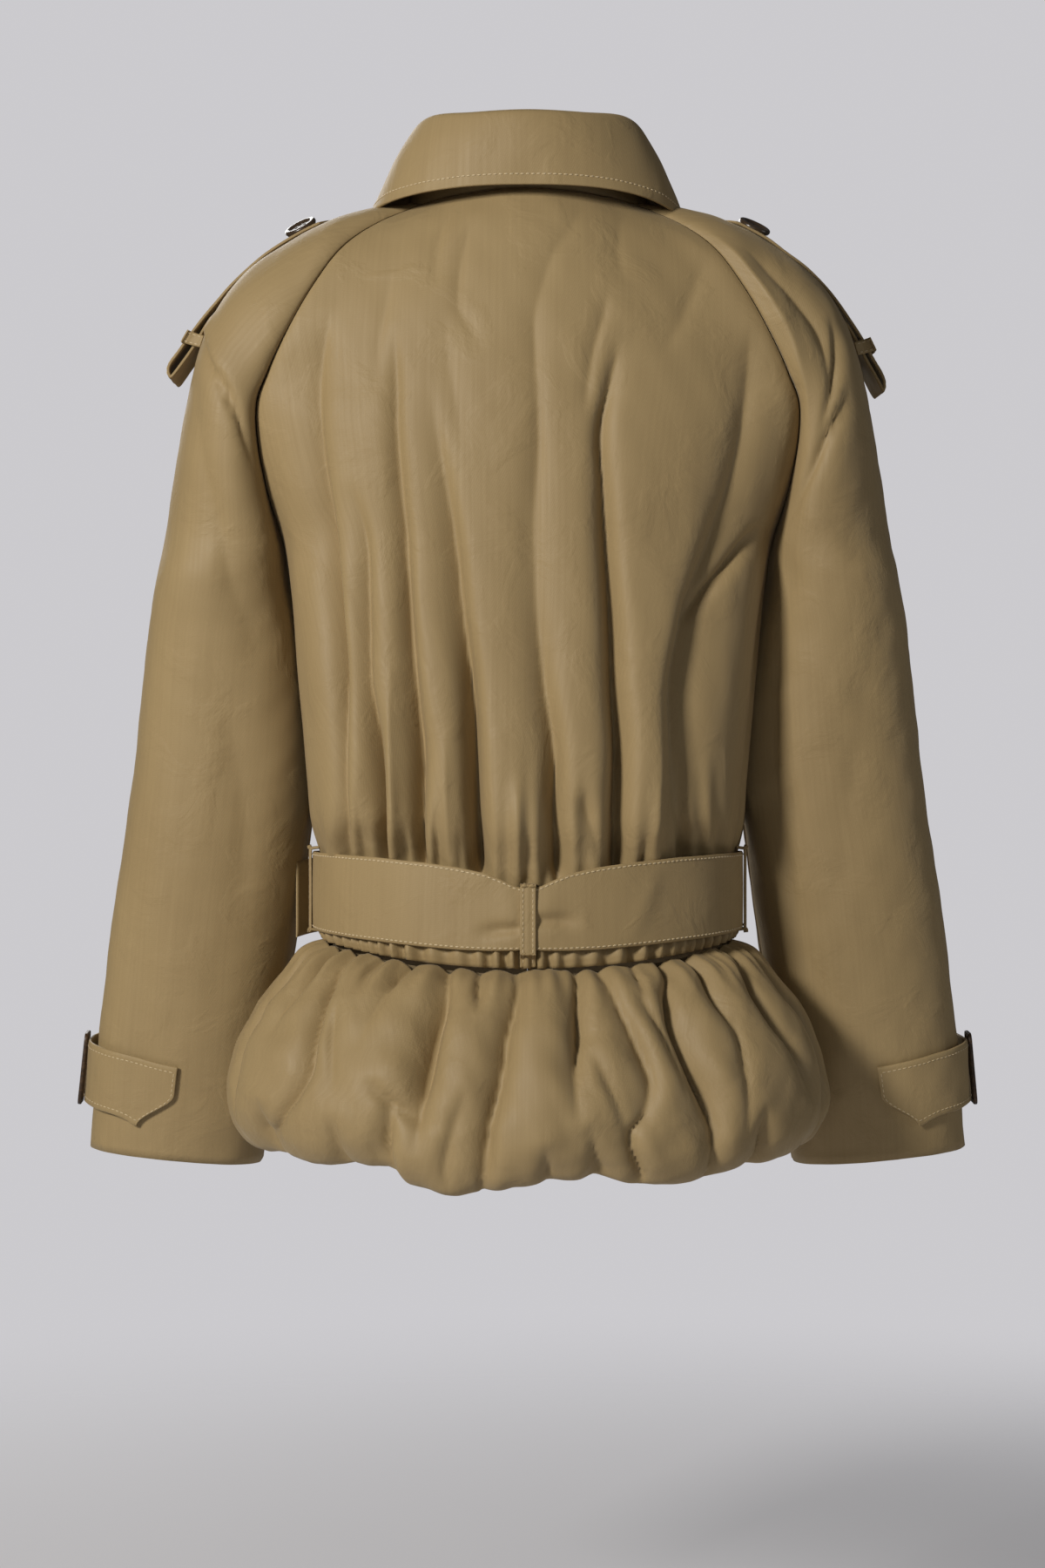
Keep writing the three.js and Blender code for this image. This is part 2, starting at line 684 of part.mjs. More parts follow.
/** A flat buckle frame with cut corners, its back at z = 0. */
function frameGeometry({ width, height, bar, thickness }) {
  const outline = (w, h, cut) => [
    [-w, -h + cut], [-w + cut, -h], [w - cut, -h], [w, -h + cut],
    [w, h - cut], [w - cut, h], [-w + cut, h], [-w, h - cut],
  ].map(([x, y]) => new THREE.Vector2(x, y));
  const shape = new THREE.Shape(outline(width / 2, height / 2, bar));
  shape.holes.push(new THREE.Path(outline(width / 2 - bar, height / 2 - bar, bar / 3)));
  return new THREE.ExtrudeGeometry(shape, { depth: thickness, bevelEnabled: false });
}

/** A point and direction of a panel at a place counted in rows and columns. */
function surfaceAt({ points, facing }, row, columnPlace) {
  const i = Math.min(Math.floor(row), points.length - 2);
  const j = Math.min(Math.floor(columnPlace), points[0].length - 2);
  const blend = (field) => {
    const upper = field[i][j].clone().lerp(field[i][j + 1], columnPlace - j);
    const lower = field[i + 1][j].clone().lerp(field[i + 1][j + 1], columnPlace - j);
    return upper.lerp(lower, row - i);
  };
  return { point: blend(points), outward: blend(facing).normalize() };
}

const FRONT_BUTTON_ROWS = [2.6, 5.6, 8.5, 11.2, 13.4];
const FRONT_MIDDLE_COLUMN = 1;
FRONT_BUTTON_ROWS.forEach((row, k) => {
  const { point, outward } = surfaceAt(frontRight, row, FRONT_MIDDLE_COLUMN);
  const button = add(`front_button_${k + 1}`, buttonGeometry(), 'horn');
  seat(button, point.addScaledVector(outward, LAY_GAP), outward);
});

const BELT_BUCKLE = { width: 54, height: 66, bar: 5, thickness: 4 };
seat(
  add('belt_buckle', frameGeometry(BELT_BUCKLE), 'horn'),
  beltPoint(180, 0.5, LAY_GAP),
  new THREE.Vector3(0, -1, 0),
);

// ---- Shoulder straps and cuff straps -----------------------------------------------------------

/** A point over a left sleeve: its row, the share round it, a distance across and one out. */
function sleevePoint(sleeve, row, share, across, out) {
  const at = (s) => surfaceAt(sleeve, row, s * SLEEVE_COLUMNS);
  const girth = at(share + 0.02).point.distanceTo(at(share - 0.02).point) / 0.04;
  const { point, outward } = at(share + across / girth);
  return point.addScaledVector(outward, out);
}

// A shoulder strap's path: the share of its reach down the sleeve, how far out its face stands, and
// its point. It runs from the tip at the neck to the outer end and folds back under itself.
const STRAP_PATH = table(
  'share out tip',
  [0, 3.3, 1],
  [0.16, 3.3, 0.25],
  [0.34, 3.3, 0],
  [0.52, 3.6, 0],
  [0.68, 5, 0],
  [0.82, 8.5, 0],
  [0.93, 13, 0],
  [1, 16, 0],
  [1.03, 13, 0],
  [0.99, 9.5, 0],
  [0.88, 4.6, 0],
  [0.76, 1.2, 0],
);
const STRAP_START = 1.55;
const STRAP_TIP_ROWS = 0.42;
const STRAP_SHARE = 0.5;

function shoulderStrap(sleeve, reach) {
  const columns = 4;
  return panel(grid(STRAP_PATH.length - 1, columns, (i, j) => {
    const { share, out, tip } = STRAP_PATH[i];
    const side = (2 * j) / columns - 1;
    const row = lerp(STRAP_START, reach, share) + tip * STRAP_TIP_ROWS * Math.abs(side);
    return sleevePoint(sleeve, row, STRAP_SHARE, (side * STRAP_WIDTH) / 2, out);
  }));
}

// The carrier over a shoulder strap: how far past the strap's edge and what share of its height.
const STRAP_LOOP = table('past rise', [7, 0], [3, 0.45], [2.4, 0.85], [0.4, 1]);
const STRAP_LOOP_PLACE = 5.3;
const STRAP_LOOP_LENGTH = 0.45;
const STRAP_LOOP_EASE = 1.7;

function strapLoop(sleeve, reach) {
  const path = [...STRAP_LOOP, ...STRAP_LOOP.toReversed()];
  const foot = CARRIER_WALL + LAY_GAP;
  return panel(grid(1, path.length - 1, (i, j) => {
    const place = STRAP_LOOP_PLACE + i * STRAP_LOOP_LENGTH;
    const row = lerp(STRAP_START, reach, along(STRAP_PATH, 'share', place));
    const sign = j < STRAP_LOOP.length ? -1 : 1;
    const across = sign * (STRAP_WIDTH / 2 + path[j].past);
    const height = along(STRAP_PATH, 'out', place) + foot + STRAP_LOOP_EASE;
    return sleevePoint(sleeve, row, STRAP_SHARE, across, lerp(foot, height, path[j].rise));
  }));
}

// A cuff strap from its tip: the column and row of the sleeve, how far its face stands out, and how
// many columns its cut lower corner is drawn back.
const CUFF_PATH = table(
  'column row out cut',
  [5.5, 16.98, 3.5, 1.4],
  [6, 16.96, 3.5, 1.1],
  [7, 16.9, 4.1, 0.4],
  [8, 16.84, 4.6, 0],
  [9, 16.8, 5, 0],
  [10, 16.76, 6.4, 0],
  [11, 16.74, 7, 0],
  [12, 16.72, 6.4, 0],
  [13, 16.72, 5, 0],
  [14, 16.72, 3.8, 0],
  [15, 16.72, 3.2, 0],
  [16, 16.72, 3.1, 0],
  [17, 16.72, 3.1, 0],
  [18, 16.72, 3.1, 0],
);
const CUFF_HALF_ROWS = 0.5;
const CUFF_CUT_LIFT = 0.6;

function cuffStrap(sleeve) {
  const rows = 2;
  return panel(grid(rows, CUFF_PATH.length - 1, (i, j) => {
    const { column: place, row, out, cut } = CUFF_PATH[j];
    const drawn = i === rows ? cut : 0;
    const share = (place + drawn) / SLEEVE_COLUMNS;
    return sleevePoint(sleeve, row + (i - 1) * CUFF_HALF_ROWS, share, 0, out + drawn * CUFF_CUT_LIFT);
  }));
}

const CUFF_BUCKLE = { width: 30, height: 51, bar: 3, thickness: 2.6 };
const CUFF_BUCKLE_SEAT = { share: 0.49, row: 16.73, out: 7.6 };
const SHOULDER_BUTTON_SEAT = { row: 2.35, out: 3.3 + LAY_GAP };

/** What one sleeve carries, worked out on the left and mirrored for the right. */
function dressSleeve(side, sleeve, reach) {
  const turned = (source) => (side === 'left' ? source : mirrored(source));
  const toSide = new THREE.Vector3(side === 'left' ? 1 : -1, 1, 1);
  const seatOver = (name, geometry, { row, share = STRAP_SHARE, out }) => {
    const beneath = surfaceAt(sleeve, row, share * SLEEVE_COLUMNS);
    const outward = beneath.outward.clone().multiply(toSide);
    const point = beneath.point.clone().multiply(toSide).addScaledVector(outward, out);
    seat(add(name, geometry, 'horn'), point, outward);
  };
  add(`epaulette_${side}`, wall(turned(shoulderStrap(sleeve, reach))));
  add(`epaulette_loop_${side}`, wall(turned(strapLoop(sleeve, reach)), CARRIER_WALL));
  seatOver(`epaulette_button_${side}`, buttonGeometry(), SHOULDER_BUTTON_SEAT);
  add(`cuff_strap_${side}`, wall(turned(cuffStrap(sleeve))));
  seatOver(`cuff_buckle_${side}`, frameGeometry(CUFF_BUCKLE), CUFF_BUCKLE_SEAT);
}

dressSleeve('left', sleeveLeft, 5.75);
dressSleeve('right', sleeveRightAsLeft, 6.2);

export default jacket;
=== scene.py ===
"""A belted peplum jacket in khaki cotton sateen: raglan sleeves, gathered waist and bubble peplum.

Every cloth piece is a surface worked out from its cut sizes: a function of a place down the piece and
a place across it. Its troughs and ridges move the surface along its own normal, and a second skin
one cloth thickness inside closes it. Sizes in the tables are in millimetres.
"""

import math

import bmesh
import bpy
import numpy as np
from bpy.props import FloatProperty, FloatVectorProperty, PointerProperty
from bpy.types import NodeSocket, Operator, Panel, PropertyGroup
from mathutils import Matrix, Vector


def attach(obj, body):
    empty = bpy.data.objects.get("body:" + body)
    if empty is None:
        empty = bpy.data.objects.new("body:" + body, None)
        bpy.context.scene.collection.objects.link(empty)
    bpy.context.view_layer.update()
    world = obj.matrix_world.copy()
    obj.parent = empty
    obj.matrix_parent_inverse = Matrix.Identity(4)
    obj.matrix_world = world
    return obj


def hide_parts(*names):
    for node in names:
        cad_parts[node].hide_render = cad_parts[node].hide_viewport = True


bl_info = {
    "name": "Peplum Jacket",
    "version": (1, 0, 0),
    "blender": (4, 5, 0),
    "location": "View3D > Sidebar > Jacket",
    "description": "Cloth, stitching, buttons and studio for a belted peplum jacket",
    "category": "Object",
}

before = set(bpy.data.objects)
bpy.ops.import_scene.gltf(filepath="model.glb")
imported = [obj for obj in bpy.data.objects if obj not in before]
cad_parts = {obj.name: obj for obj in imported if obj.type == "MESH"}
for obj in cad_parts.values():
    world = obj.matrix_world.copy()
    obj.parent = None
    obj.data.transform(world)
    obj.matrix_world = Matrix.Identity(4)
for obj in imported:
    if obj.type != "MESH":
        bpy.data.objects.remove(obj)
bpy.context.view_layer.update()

MM = 0.001
SEAM_GAP = 0.12
SIDES = ("left", "right")


# ---- Curves and surfaces ---------------------------------------------------------------------


def table(names, *rows):
    """The columns of a shape's rows, each under its name."""
    return {name: np.array(column, float) for name, column in zip(names.split(), zip(*rows))}


def along(values, place):
    """A smooth curve through a column at places counted in rows.

    Between two rows it is the cubic whose slope at each row is half the step between the row's
    neighbours.
    """
    values = np.asarray(values, float)
    last = len(values) - 1
    place = np.clip(np.asarray(place, float), 0, last)
    row = np.minimum(place.astype(int), last - 1)
    t = place - row
    slopes = np.gradient(values)
    start, end = values[row], values[row + 1]
    slope, next_slope = slopes[row], slopes[row + 1]
    span = end - start
    cubic = slope + next_slope - 2 * span
    square = 3 * span - 2 * slope - next_slope
    return start + t * (slope + t * (square + t * cubic))


def levels(columns, place):
    """All of a table's columns at places counted in rows."""
    return {name: along(column, place) for name, column in columns.items()}


def smooth(values, low, high):
    """0 below low, 1 above high, and a cubic with level ends between them."""
    t = np.clip((values - low) / (high - low), 0, 1)
    return t * t * (3 - 2 * t)


def bell(away, width):
    """1 where away is 0, falling off as e to the power of minus the square of away over the width."""
    return np.exp(-((away / width) ** 2))


def mix(first, second, share):
    return first + (second - first) * share


def points(x, y, z):
    return np.stack(np.broadcast_arrays(x, y, z), axis=-1)


def unit(vectors):
    return vectors / np.maximum(np.linalg.norm(vectors, axis=-1, keepdims=True), 1e-9)


def facing(grid):
    """The outward normal at each point of a grid: the step across it crossed with the step down."""
    return unit(np.cross(np.gradient(grid, axis=1), np.gradient(grid, axis=0)))


def moved(grid, out):
    """A grid moved out along its normals by an amount for each point, row or column."""
    return grid + facing(grid) * out[..., None]


def lengths(grid, axis):
    """How far along an axis of the grid each point lies, summed over the steps before it."""
    steps = np.linalg.norm(np.diff(grid, axis=axis), axis=-1)
    first = np.zeros_like(np.take(steps, [0], axis=axis))
    return np.cumsum(np.concatenate([first, steps], axis=axis), axis=axis)


def grid_at(field, rows, columns):
    """A field of a grid at places in rows and columns: straight between the four nearest points."""
    i = np.clip(rows.astype(int), 0, field.shape[0] - 2)
    j = np.clip(columns.astype(int), 0, field.shape[1] - 2)
    s, t = (rows - i)[..., None], (columns - j)[..., None]
    upper = mix(field[i, j], field[i, j + 1], t)
    return mix(upper, mix(field[i + 1, j], field[i + 1, j + 1], t), s)


def line_on(grid, rows, columns):
    """The points and outward directions of a surface along a line of places in rows and columns."""
    rows, columns = np.broadcast_arrays(np.asarray(rows, float), np.asarray(columns, float))
    return grid_at(grid, rows, columns), unit(grid_at(facing(grid), rows, columns))


def troughs(folds, across, z, crisp=1.25):
    """The depth of a set of folds at places across and heights.

    A fold is a list of nodes: height, place across, width to its plus side, width to its minus
    side and depth. Its line, widths and depth run smoothly from node to node. Across the line the
    depth falls off as e to the power of minus the distance over the width, taken to the power
    crisp: at 1 the valley is a sharp crease. A depth below 0 is a ridge.
    """
    depth = np.zeros(np.broadcast_shapes(across.shape, z.shape))
    for nodes in folds:
        height, line, plus, minus, deep = np.array(nodes, float).T
        place = np.interp(-z, -height, np.arange(len(height)))
        away = across - along(line, place)
        width = np.where(away > 0, along(plus, place), along(minus, place))
        inside = (z <= height[0]) & (z >= height[-1])
        fall = np.exp(-(np.abs(away / width) ** crisp))
        depth += np.where(inside, along(deep, place), 0) * fall
    return settings().fold_depth * depth


def puckers(grid, seed, size, height):
    """Small uneven rises of the cloth: a sum of eight slanting sine waves with set phases."""
    source = np.random.default_rng(seed)
    total = np.zeros(grid.shape[:2])
    for _ in range(8):
        direction = unit(source.normal(size=3) * np.array([1.0, 1.0, 0.55]))
        wave = size * source.uniform(0.8, 2.6)
        total += np.sin(grid @ direction * (2 * np.pi / wave) + source.uniform(0, 6.3))
    return height * total / 8


# ---- Meshes ----------------------------------------------------------------------------------


def add_mesh(name, vertices, faces, uv=None, flat=0):
    """A mesh object at the origin, from vertices in millimetres and faces of four corners.

    uv holds two lengths in metres for each vertex, and flat counts the last faces, which aren't
    smooth.
    """
    mesh = bpy.data.meshes.new(name)
    mesh.vertices.add(len(vertices))
    mesh.vertices.foreach_set("co", (vertices * MM).astype(np.float32).ravel())
    mesh.loops.add(faces.size)
    mesh.loops.foreach_set("vertex_index", faces.astype(np.int32).ravel())
    mesh.polygons.add(len(faces))
    mesh.polygons.foreach_set("loop_start", np.arange(0, faces.size, 4, dtype=np.int32))
    mesh.update(calc_edges=True)
    mesh.polygons.foreach_set("use_smooth", np.arange(len(faces)) < len(faces) - flat)
    if uv is not None:
        layer = mesh.uv_layers.new(name="cloth")
        layer.data.foreach_set("uv", uv[faces.ravel()].astype(np.float32).ravel())
    mesh.validate()
    mesh.update()
    return linked(name, mesh)


def linked(name, data):
    """A new object of a mesh, lamp or camera, put in the scene."""
    obj = bpy.data.objects.new(name, data)
    bpy.context.scene.collection.objects.link(obj)
    return obj


def skin_faces(rows, columns, closed=False, looped=False):
    """The faces of a grid of vertices. A closed grid joins its last column to its first, and a
    looped one its last row to its first.
    """
    i, j = np.meshgrid(
        np.arange(rows if looped else rows - 1), np.arange(columns if closed else columns - 1),
        indexing="ij",
    )
    a, b = (i + 1) % rows, (j + 1) % columns
    corners = [i * columns + j, i * columns + b, a * columns + b, a * columns + j]
    return np.stack(corners, axis=-1).reshape(-1, 4)


def cloth(name, grid, thickness, normals=None, soft_edge=0.0):
    """A closed piece of cloth: the grid as its outer skin, a second skin one thickness inside it,
    and a rim round all four edges. soft_edge draws both skins' borders towards each other by that
    share of the thickness, so that a turned edge looks rounded.
    """
    rows, columns = grid.shape[:2]
    normals = facing(grid) if normals is None else normals
    draw = np.zeros((rows, columns))
    draw[[0, -1]] = draw[:, [0, -1]] = soft_edge * thickness
    outer = grid - normals * draw[..., None]
    inner = grid - normals * (thickness - draw)[..., None]
    order = np.arange(rows * columns).reshape(rows, columns)
    around = np.concatenate([order[0], order[1:, -1], order[-1, -2::-1], order[-2:0:-1, 0]])
    following = np.roll(around, -1)
    rim = np.stack([following, around, around + order.size, following + order.size], axis=-1)
    skin = skin_faces(rows, columns)
    faces = np.concatenate([skin, (skin + order.size)[:, ::-1], rim])
    across = lengths(grid, 1)
    uv = np.stack([across - across[:, [columns // 2]], -lengths(grid, 0)], axis=-1).reshape(-1, 2)
    vertices = np.concatenate([outer.reshape(-1, 3), inner.reshape(-1, 3)])
    return add_mesh(name, vertices, faces, np.concatenate([uv, uv]) * MM, len(rim))


def settled(obj, weld=0.0):
    """Joins points of a mesh that lie within the weld, and turns each of its shells outwards."""
    work = bmesh.new()
    work.from_mesh(obj.data)
    if weld:
        bmesh.ops.remove_doubles(work, verts=work.verts, dist=weld)
    bmesh.ops.recalc_face_normals(work, faces=work.faces)
    work.to_mesh(obj.data)
    work.free()
    return obj


def fit(obj, solid, finish):
    """Puts a finished piece on the jacket: gives it its material, attaches it to the root body and
    hides its solid.
    """
    obj.data.materials.append(finish)
    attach(obj, "root")
    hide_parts(solid)


def sew(name, solid, grid, flat, held="gathered", area=None, thickness=None, normals=None,
        soft_edge=0.0, finish=None, slot="cloth"):
    """Makes a cloth piece from its outer surface and puts it on the jacket."""
    thickness = thickness or settings().cloth_thickness / MM
    obj = cloth(name, grid, thickness, normals, soft_edge)
    fit(obj, solid, finish or khaki())


def stitches(name, paths, radius=0.38):
    """Topstitches along paths, as one mesh.

    Each path is a list of points with their outward directions. A stitch is a thread of six sides
    in four rings: it runs along the path for seven tenths of the stitch length, its rings swell
    from the ends to the middle, and it stands half out of the cloth.
    """
    pitch = settings().stitch_length / MM
    turn = np.linspace(0, 2 * np.pi, 6, endpoint=False)
    stations = np.array([-0.5, -0.3, 0.3, 0.5])[:, None, None] * pitch * 0.7
    swell = np.array([0.25, 1.0, 1.0, 0.25])[:, None] * radius
    caps = np.array([[0, 1, 2, 3], [0, 3, 4, 5], [21, 20, 19, 18], [23, 22, 21, 18]])
    one = np.concatenate([skin_faces(4, 6, closed=True), caps])
    shapes = []
    for path, outward in paths:
        reach = lengths(path[None], 1)[0]
        total = max(int(reach[-1] / pitch), 1)
        middle = (np.arange(total) + 0.5) * reach[-1] / total
        centre, out, run = (
            np.stack([np.interp(middle, reach, field[:, k]) for k in range(3)], axis=-1)
            for field in (path, outward, np.gradient(path, axis=0))
        )
        out, run = unit(out)[:, None, None], unit(run)[:, None, None]
        side = unit(np.cross(out, run))
        shape = run * stations + side * (swell * np.cos(turn) * 1.2)[..., None]
        shape += out * (swell * np.sin(turn))[..., None]
        shape += centre[:, None, None] + out * radius * 0.35
        shapes += [(thread.reshape(-1, 3), one) for thread in shape]
    obj = settled(add_mesh(name, *joined(shapes)))
    obj.data.materials.append(thread_material("topstitch_thread", settings().thread_colour))
    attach(obj, "root")


def joined(shapes):
    """Several shapes as one list of vertices and one of faces."""
    vertices, faces = zip(*shapes)
    starts = np.cumsum([0] + [len(one) for one in vertices[:-1]])
    return np.concatenate(vertices), np.concatenate([f + s for f, s in zip(faces, starts)])


# ---- Materials -------------------------------------------------------------------------------


class Nodes:
    """Short calls for adding linked nodes to a tree."""

    def __init__(self, tree):
        self.tree = tree

    def feed(self, node, values):
        """Links or sets a node's inputs."""
        for key, value in values.items():
            if isinstance(value, NodeSocket):
                self.tree.links.new(value, node.inputs[key])
            else:
                node.inputs[key].default_value = value

    def add(self, kind, values=None, out=0, **choices):
        """The output of a new node with its choices and inputs."""
        node = self.tree.nodes.new("ShaderNode" + kind)
        for key, value in choices.items():
            setattr(node, key, value)
        self.feed(node, values or {})
        return node.outputs[out] if node.outputs else node

    def place(self):
        return self.add("TexCoord", out="Object")

    def math(self, operation, first, second=None):
        values = {0: first} if second is None else {0: first, 1: second}
        return self.add("Math", values, operation=operation)

    def sum_of(self, first, first_share, second, second_share):
        """Two values added, each times its share. A share of 1 needs no node."""
        parts = [
            value if share == 1 else self.math("MULTIPLY", value, share)
            for value, share in ((first, first_share), (second, second_share))
        ]
        return self.math("ADD", *parts)

    def noise(self, place, scale, detail=2.0, roughness=0.5, distortion=0.0):
        values = {"Vector": place, "Scale": scale, "Detail": detail, "Roughness": roughness,
                  "Distortion": distortion}
        return self.add("TexNoise", values)

    def remap(self, value, low, high, first, last, **choices):
        return self.add("MapRange", {0: value, 1: low, 2: high, 3: first, 4: last}, **choices)

    def tones(self, share, first, second):
        """A colour between two tones by a share."""
        values = {0: share, 6: (*first, 1), 7: (*second, 1)}
        return self.add("Mix", values, out=2, data_type="RGBA", blend_type="MIX")


def weave_group():
    """Cotton sateen: a fine slanting weave as height, and slubs and soft clouds as tone.

    The weave is two sine waves across the cloth's lengths, one for each thread direction, the
    second slipped along by the first so that the floats slant. Slubs are noise stretched far along
    the warp. Clouds are broad noise on the piece's own place, and the crumple is finer noise
    folded at its middle, which leaves fine crease lines.
    """
    name = "cotton_sateen"
    if name in bpy.data.node_groups:
        return bpy.data.node_groups[name]
    group = bpy.data.node_groups.new(name, "ShaderNodeTree")
    for label, value in (("Threads", 2200.0), ("Cloud Size", 9.0)):
        socket = group.interface.new_socket(label, in_out="INPUT", socket_type="NodeSocketFloat")
        socket.default_value = value
    for label in ("Height", "Tone", "Slub", "Crumple"):
        group.interface.new_socket(label, in_out="OUTPUT", socket_type="NodeSocketFloat")
    entry, leave = group.nodes.new("NodeGroupInput"), group.nodes.new("NodeGroupOutput")
    n = Nodes(group)
    uv = n.add("UVMap", uv_map="cloth")
    parts = n.add("SeparateXYZ", {0: uv}).node
    place = n.place()
    warp, weft = (n.math("MULTIPLY", parts.outputs[k], entry.outputs["Threads"]) for k in (0, 1))
    across = n.math("SINE", n.sum_of(warp, 1, weft, 0.5))
    down = n.math("SINE", n.sum_of(weft, 1, warp, 0.25))
    stretch = n.add("Mapping", {"Vector": uv, "Scale": (430.0, 11.0, 1.0)})
    bent = n.noise(place, 26.0, 4.0, 0.55, 0.6)
    creased = n.math("ABSOLUTE", n.math("SUBTRACT", bent, 0.5))
    n.feed(leave, {
        "Height": n.sum_of(across, 0.6, down, 0.4),
        "Slub": n.noise(stretch, 1.0),
        "Tone": n.noise(place, entry.outputs["Cloud Size"], 3.0, 0.55),
        "Crumple": n.sum_of(creased, 0.8, bent, 0.8),
    })
    return group


def once(build):
    """A material builder that gives back the material of its name where it is there already."""

    def made(name, *values, **named):
        if name in bpy.data.materials:
            return bpy.data.materials[name]
        material = bpy.data.materials.new(name)
        material.use_nodes = True
        tree = material.node_tree
        shader = next(node for node in tree.nodes if node.type == "BSDF_PRINCIPLED")
        build(Nodes(tree), shader, *values, **named)
        return material

    return made


@once
def cloth_material(n, shader, colour, deep, roughness=0.58, sheen=0.12):
    """Woven cotton: its colour runs between two tones by clouds and slubs, and its weave is a bump."""
    weave = n.add("Group", {"Threads": 4200.0, "Cloud Size": 8.0}, node_tree=weave_group()).node
    height, tone, slub, crumple = (weave.outputs[k] for k in ("Height", "Tone", "Slub", "Crumple"))
    clouds = n.remap(tone, 0.3, 0.7, 0.0, 0.55)
    share = n.math("ADD", clouds, n.remap(slub, 0.3, 0.7, 0.0, 0.42))
    creases = n.add("Bump", {"Height": crumple, "Strength": 0.75, "Distance": 0.002})
    threads = n.sum_of(height, 1, slub, 1.5)
    weaving = {"Height": threads, "Strength": 0.16, "Distance": 0.00012, "Normal": creases}
    n.feed(shader, {
        "Base Color": n.tones(share, colour, deep),
        "Roughness": n.remap(slub, 0.2, 0.8, roughness - 0.05, roughness + 0.07),
        "Normal": n.add("Bump", weaving),
        "Specular IOR Level": 0.28,
        "Sheen Weight": sheen,
        "Sheen Roughness": 0.45,
        "Sheen Tint": (1.0, 0.84, 0.6, 1),
    })


@once
def thread_material(n, shader, colour):
    """Topstitching thread: a sheeny twist, banded across its run."""
    bands = n.noise(n.place(), 1800.0, 1.0)
    tones = n.tones(bands, colour, [0.72 * c for c in colour])
    n.feed(shader, {"Base Color": tones, "Roughness": 0.5, "Sheen Weight": 0.3})


@once
def horn_material(n, shader, dark, pale, roughness):
    """Polished horn: streaks of a paler tone that run through the dark, with a thin clear gloss."""
    place = n.place()
    streaks = n.add("Mapping", {"Vector": place, "Scale": (60.0, 60.0, 240.0)})
    share = n.remap(n.noise(streaks, 1.0, 4.0, distortion=1.2), 0.42, 0.68, 0.0, 1.0)
    grain = n.noise(place, 900.0)
    n.feed(shader, {
        "Base Color": n.tones(share, dark, pale),
        "Roughness": n.remap(grain, 0.3, 0.7, roughness - 0.05, roughness + 0.1),
        "Normal": n.add("Bump", {"Height": grain, "Strength": 0.1, "Distance": 0.0001}),
        "Coat Weight": 0.08,
        "Coat Roughness": 0.25,
        "Specular IOR Level": 0.3,
    })


@once
def floor_material(n, shader):
    """A pale matt floor that fades out 1.2 to 2.3 m from its middle."""
    place = n.place()
    far = n.add("VectorMath", {0: place}, out="Value", operation="LENGTH")
    fade = n.remap(far, 1.2, 2.3, 1.0, 0.0, interpolation_type="SMOOTHSTEP")
    tones = n.tones(n.noise(place, 3.0), (0.7, 0.69, 0.71), (0.72, 0.71, 0.73))
    n.feed(shader, {"Alpha": fade, "Base Color": tones, "Roughness": 0.85})


# ---- Sizes that a user would change ----------------------------------------------------------


class JacketSettings(PropertyGroup):
    """Colours and sizes of the jacket."""

    cloth_colour: FloatVectorProperty(
        name="Cloth colour", description="The cotton's colour where it is plain",
        default=(0.322, 0.23, 0.108), subtype="COLOR", min=0, max=1,
    )
    cloth_deep: FloatVectorProperty(
        name="Cloth's deeper tone", description="The tone that clouds and slubs run to",
        default=(0.277, 0.194, 0.089), subtype="COLOR", min=0, max=1,
    )
    inner_colour: FloatVectorProperty(
        name="Inner cloth colour", description="The plain cloth inside the bubble hem",
        default=(0.2, 0.145, 0.075), subtype="COLOR", min=0, max=1,
    )
    thread_colour: FloatVectorProperty(
        name="Thread colour", description="The topstitching's colour",
        default=(0.62, 0.48, 0.27), subtype="COLOR", min=0, max=1,
    )
    cloth_thickness: FloatProperty(
        name="Cloth thickness", description="The thickness of one layer with its facing",
        default=0.0014, min=0.0005, max=0.003, unit="LENGTH",
    )
    fold_depth: FloatProperty(
        name="Fold depth", description="How deep the folds are, as a share of their drawn depth",
        default=1.0, min=0, max=2, subtype="FACTOR",
    )
    stitch_length: FloatProperty(
        name="Stitch length", description="The length of one topstitch with the gap after it",
        default=0.0036, min=0.002, max=0.008, unit="LENGTH",
    )


def settings():
    return bpy.context.scene.jacket


def khaki():
    return cloth_material("khaki_sateen", settings().cloth_colour, settings().cloth_deep)


def dark_horn():
    return horn_material("dark_buckle", (0.035, 0.02, 0.011), (0.07, 0.04, 0.02), 0.38)


# ---- Body ------------------------------------------------------------------------------------

YOKE = table(
    "backX backY backZ frontX frontY frontZ topX topY topZ midBackY midBackZ midFrontY midFrontZ"
    " backBend frontBend capBend fullness",
    [74, 25, -4, 80, -22, -12, 84, 2, -4, 62, 0, -70, -62, 2, 2, 1, 0],
    [100, 40, -19, 101, -42, -30, 114, -2, -7, 76, -26, -82, -82, 2, 2, 1, 0],
    [122, 52, -39, 118, -58, -52, 143, -5, -17, 86, -52, -90, -100, 2, 1.9, 1, 2],
    [141, 62, -67, 132, -70, -78, 170, -6, -32, 95, -80, -97, -118, 2, 1.8, 1, 6],
    [157, 66, -96, 145, -76, -106, 196, -7, -53, 101, -108, -101, -136, 1.9, 1.7, 1.05, 13],
    [171, 60, -124, 157, -74, -134, 214, -9, -79, 106, -136, -104, -154, 1.7, 1.5, 1.15, 24],
    [180, 49, -150, 167, -62, -162, 227, -11, -115, 109, -165, -107, -175, 1.2, 1.3, 1.35, 38],
    [176, 26, -196, 171, -34, -200, 239, -15, -168, 111, -200, -109, -205, 0.86, 1.1, 1.7, 56],
    [167, 0, -235, 167, 0, -235, 249, -20, -225, 112, -238, -110, -238, 0.66, 1, 2, 68],
)
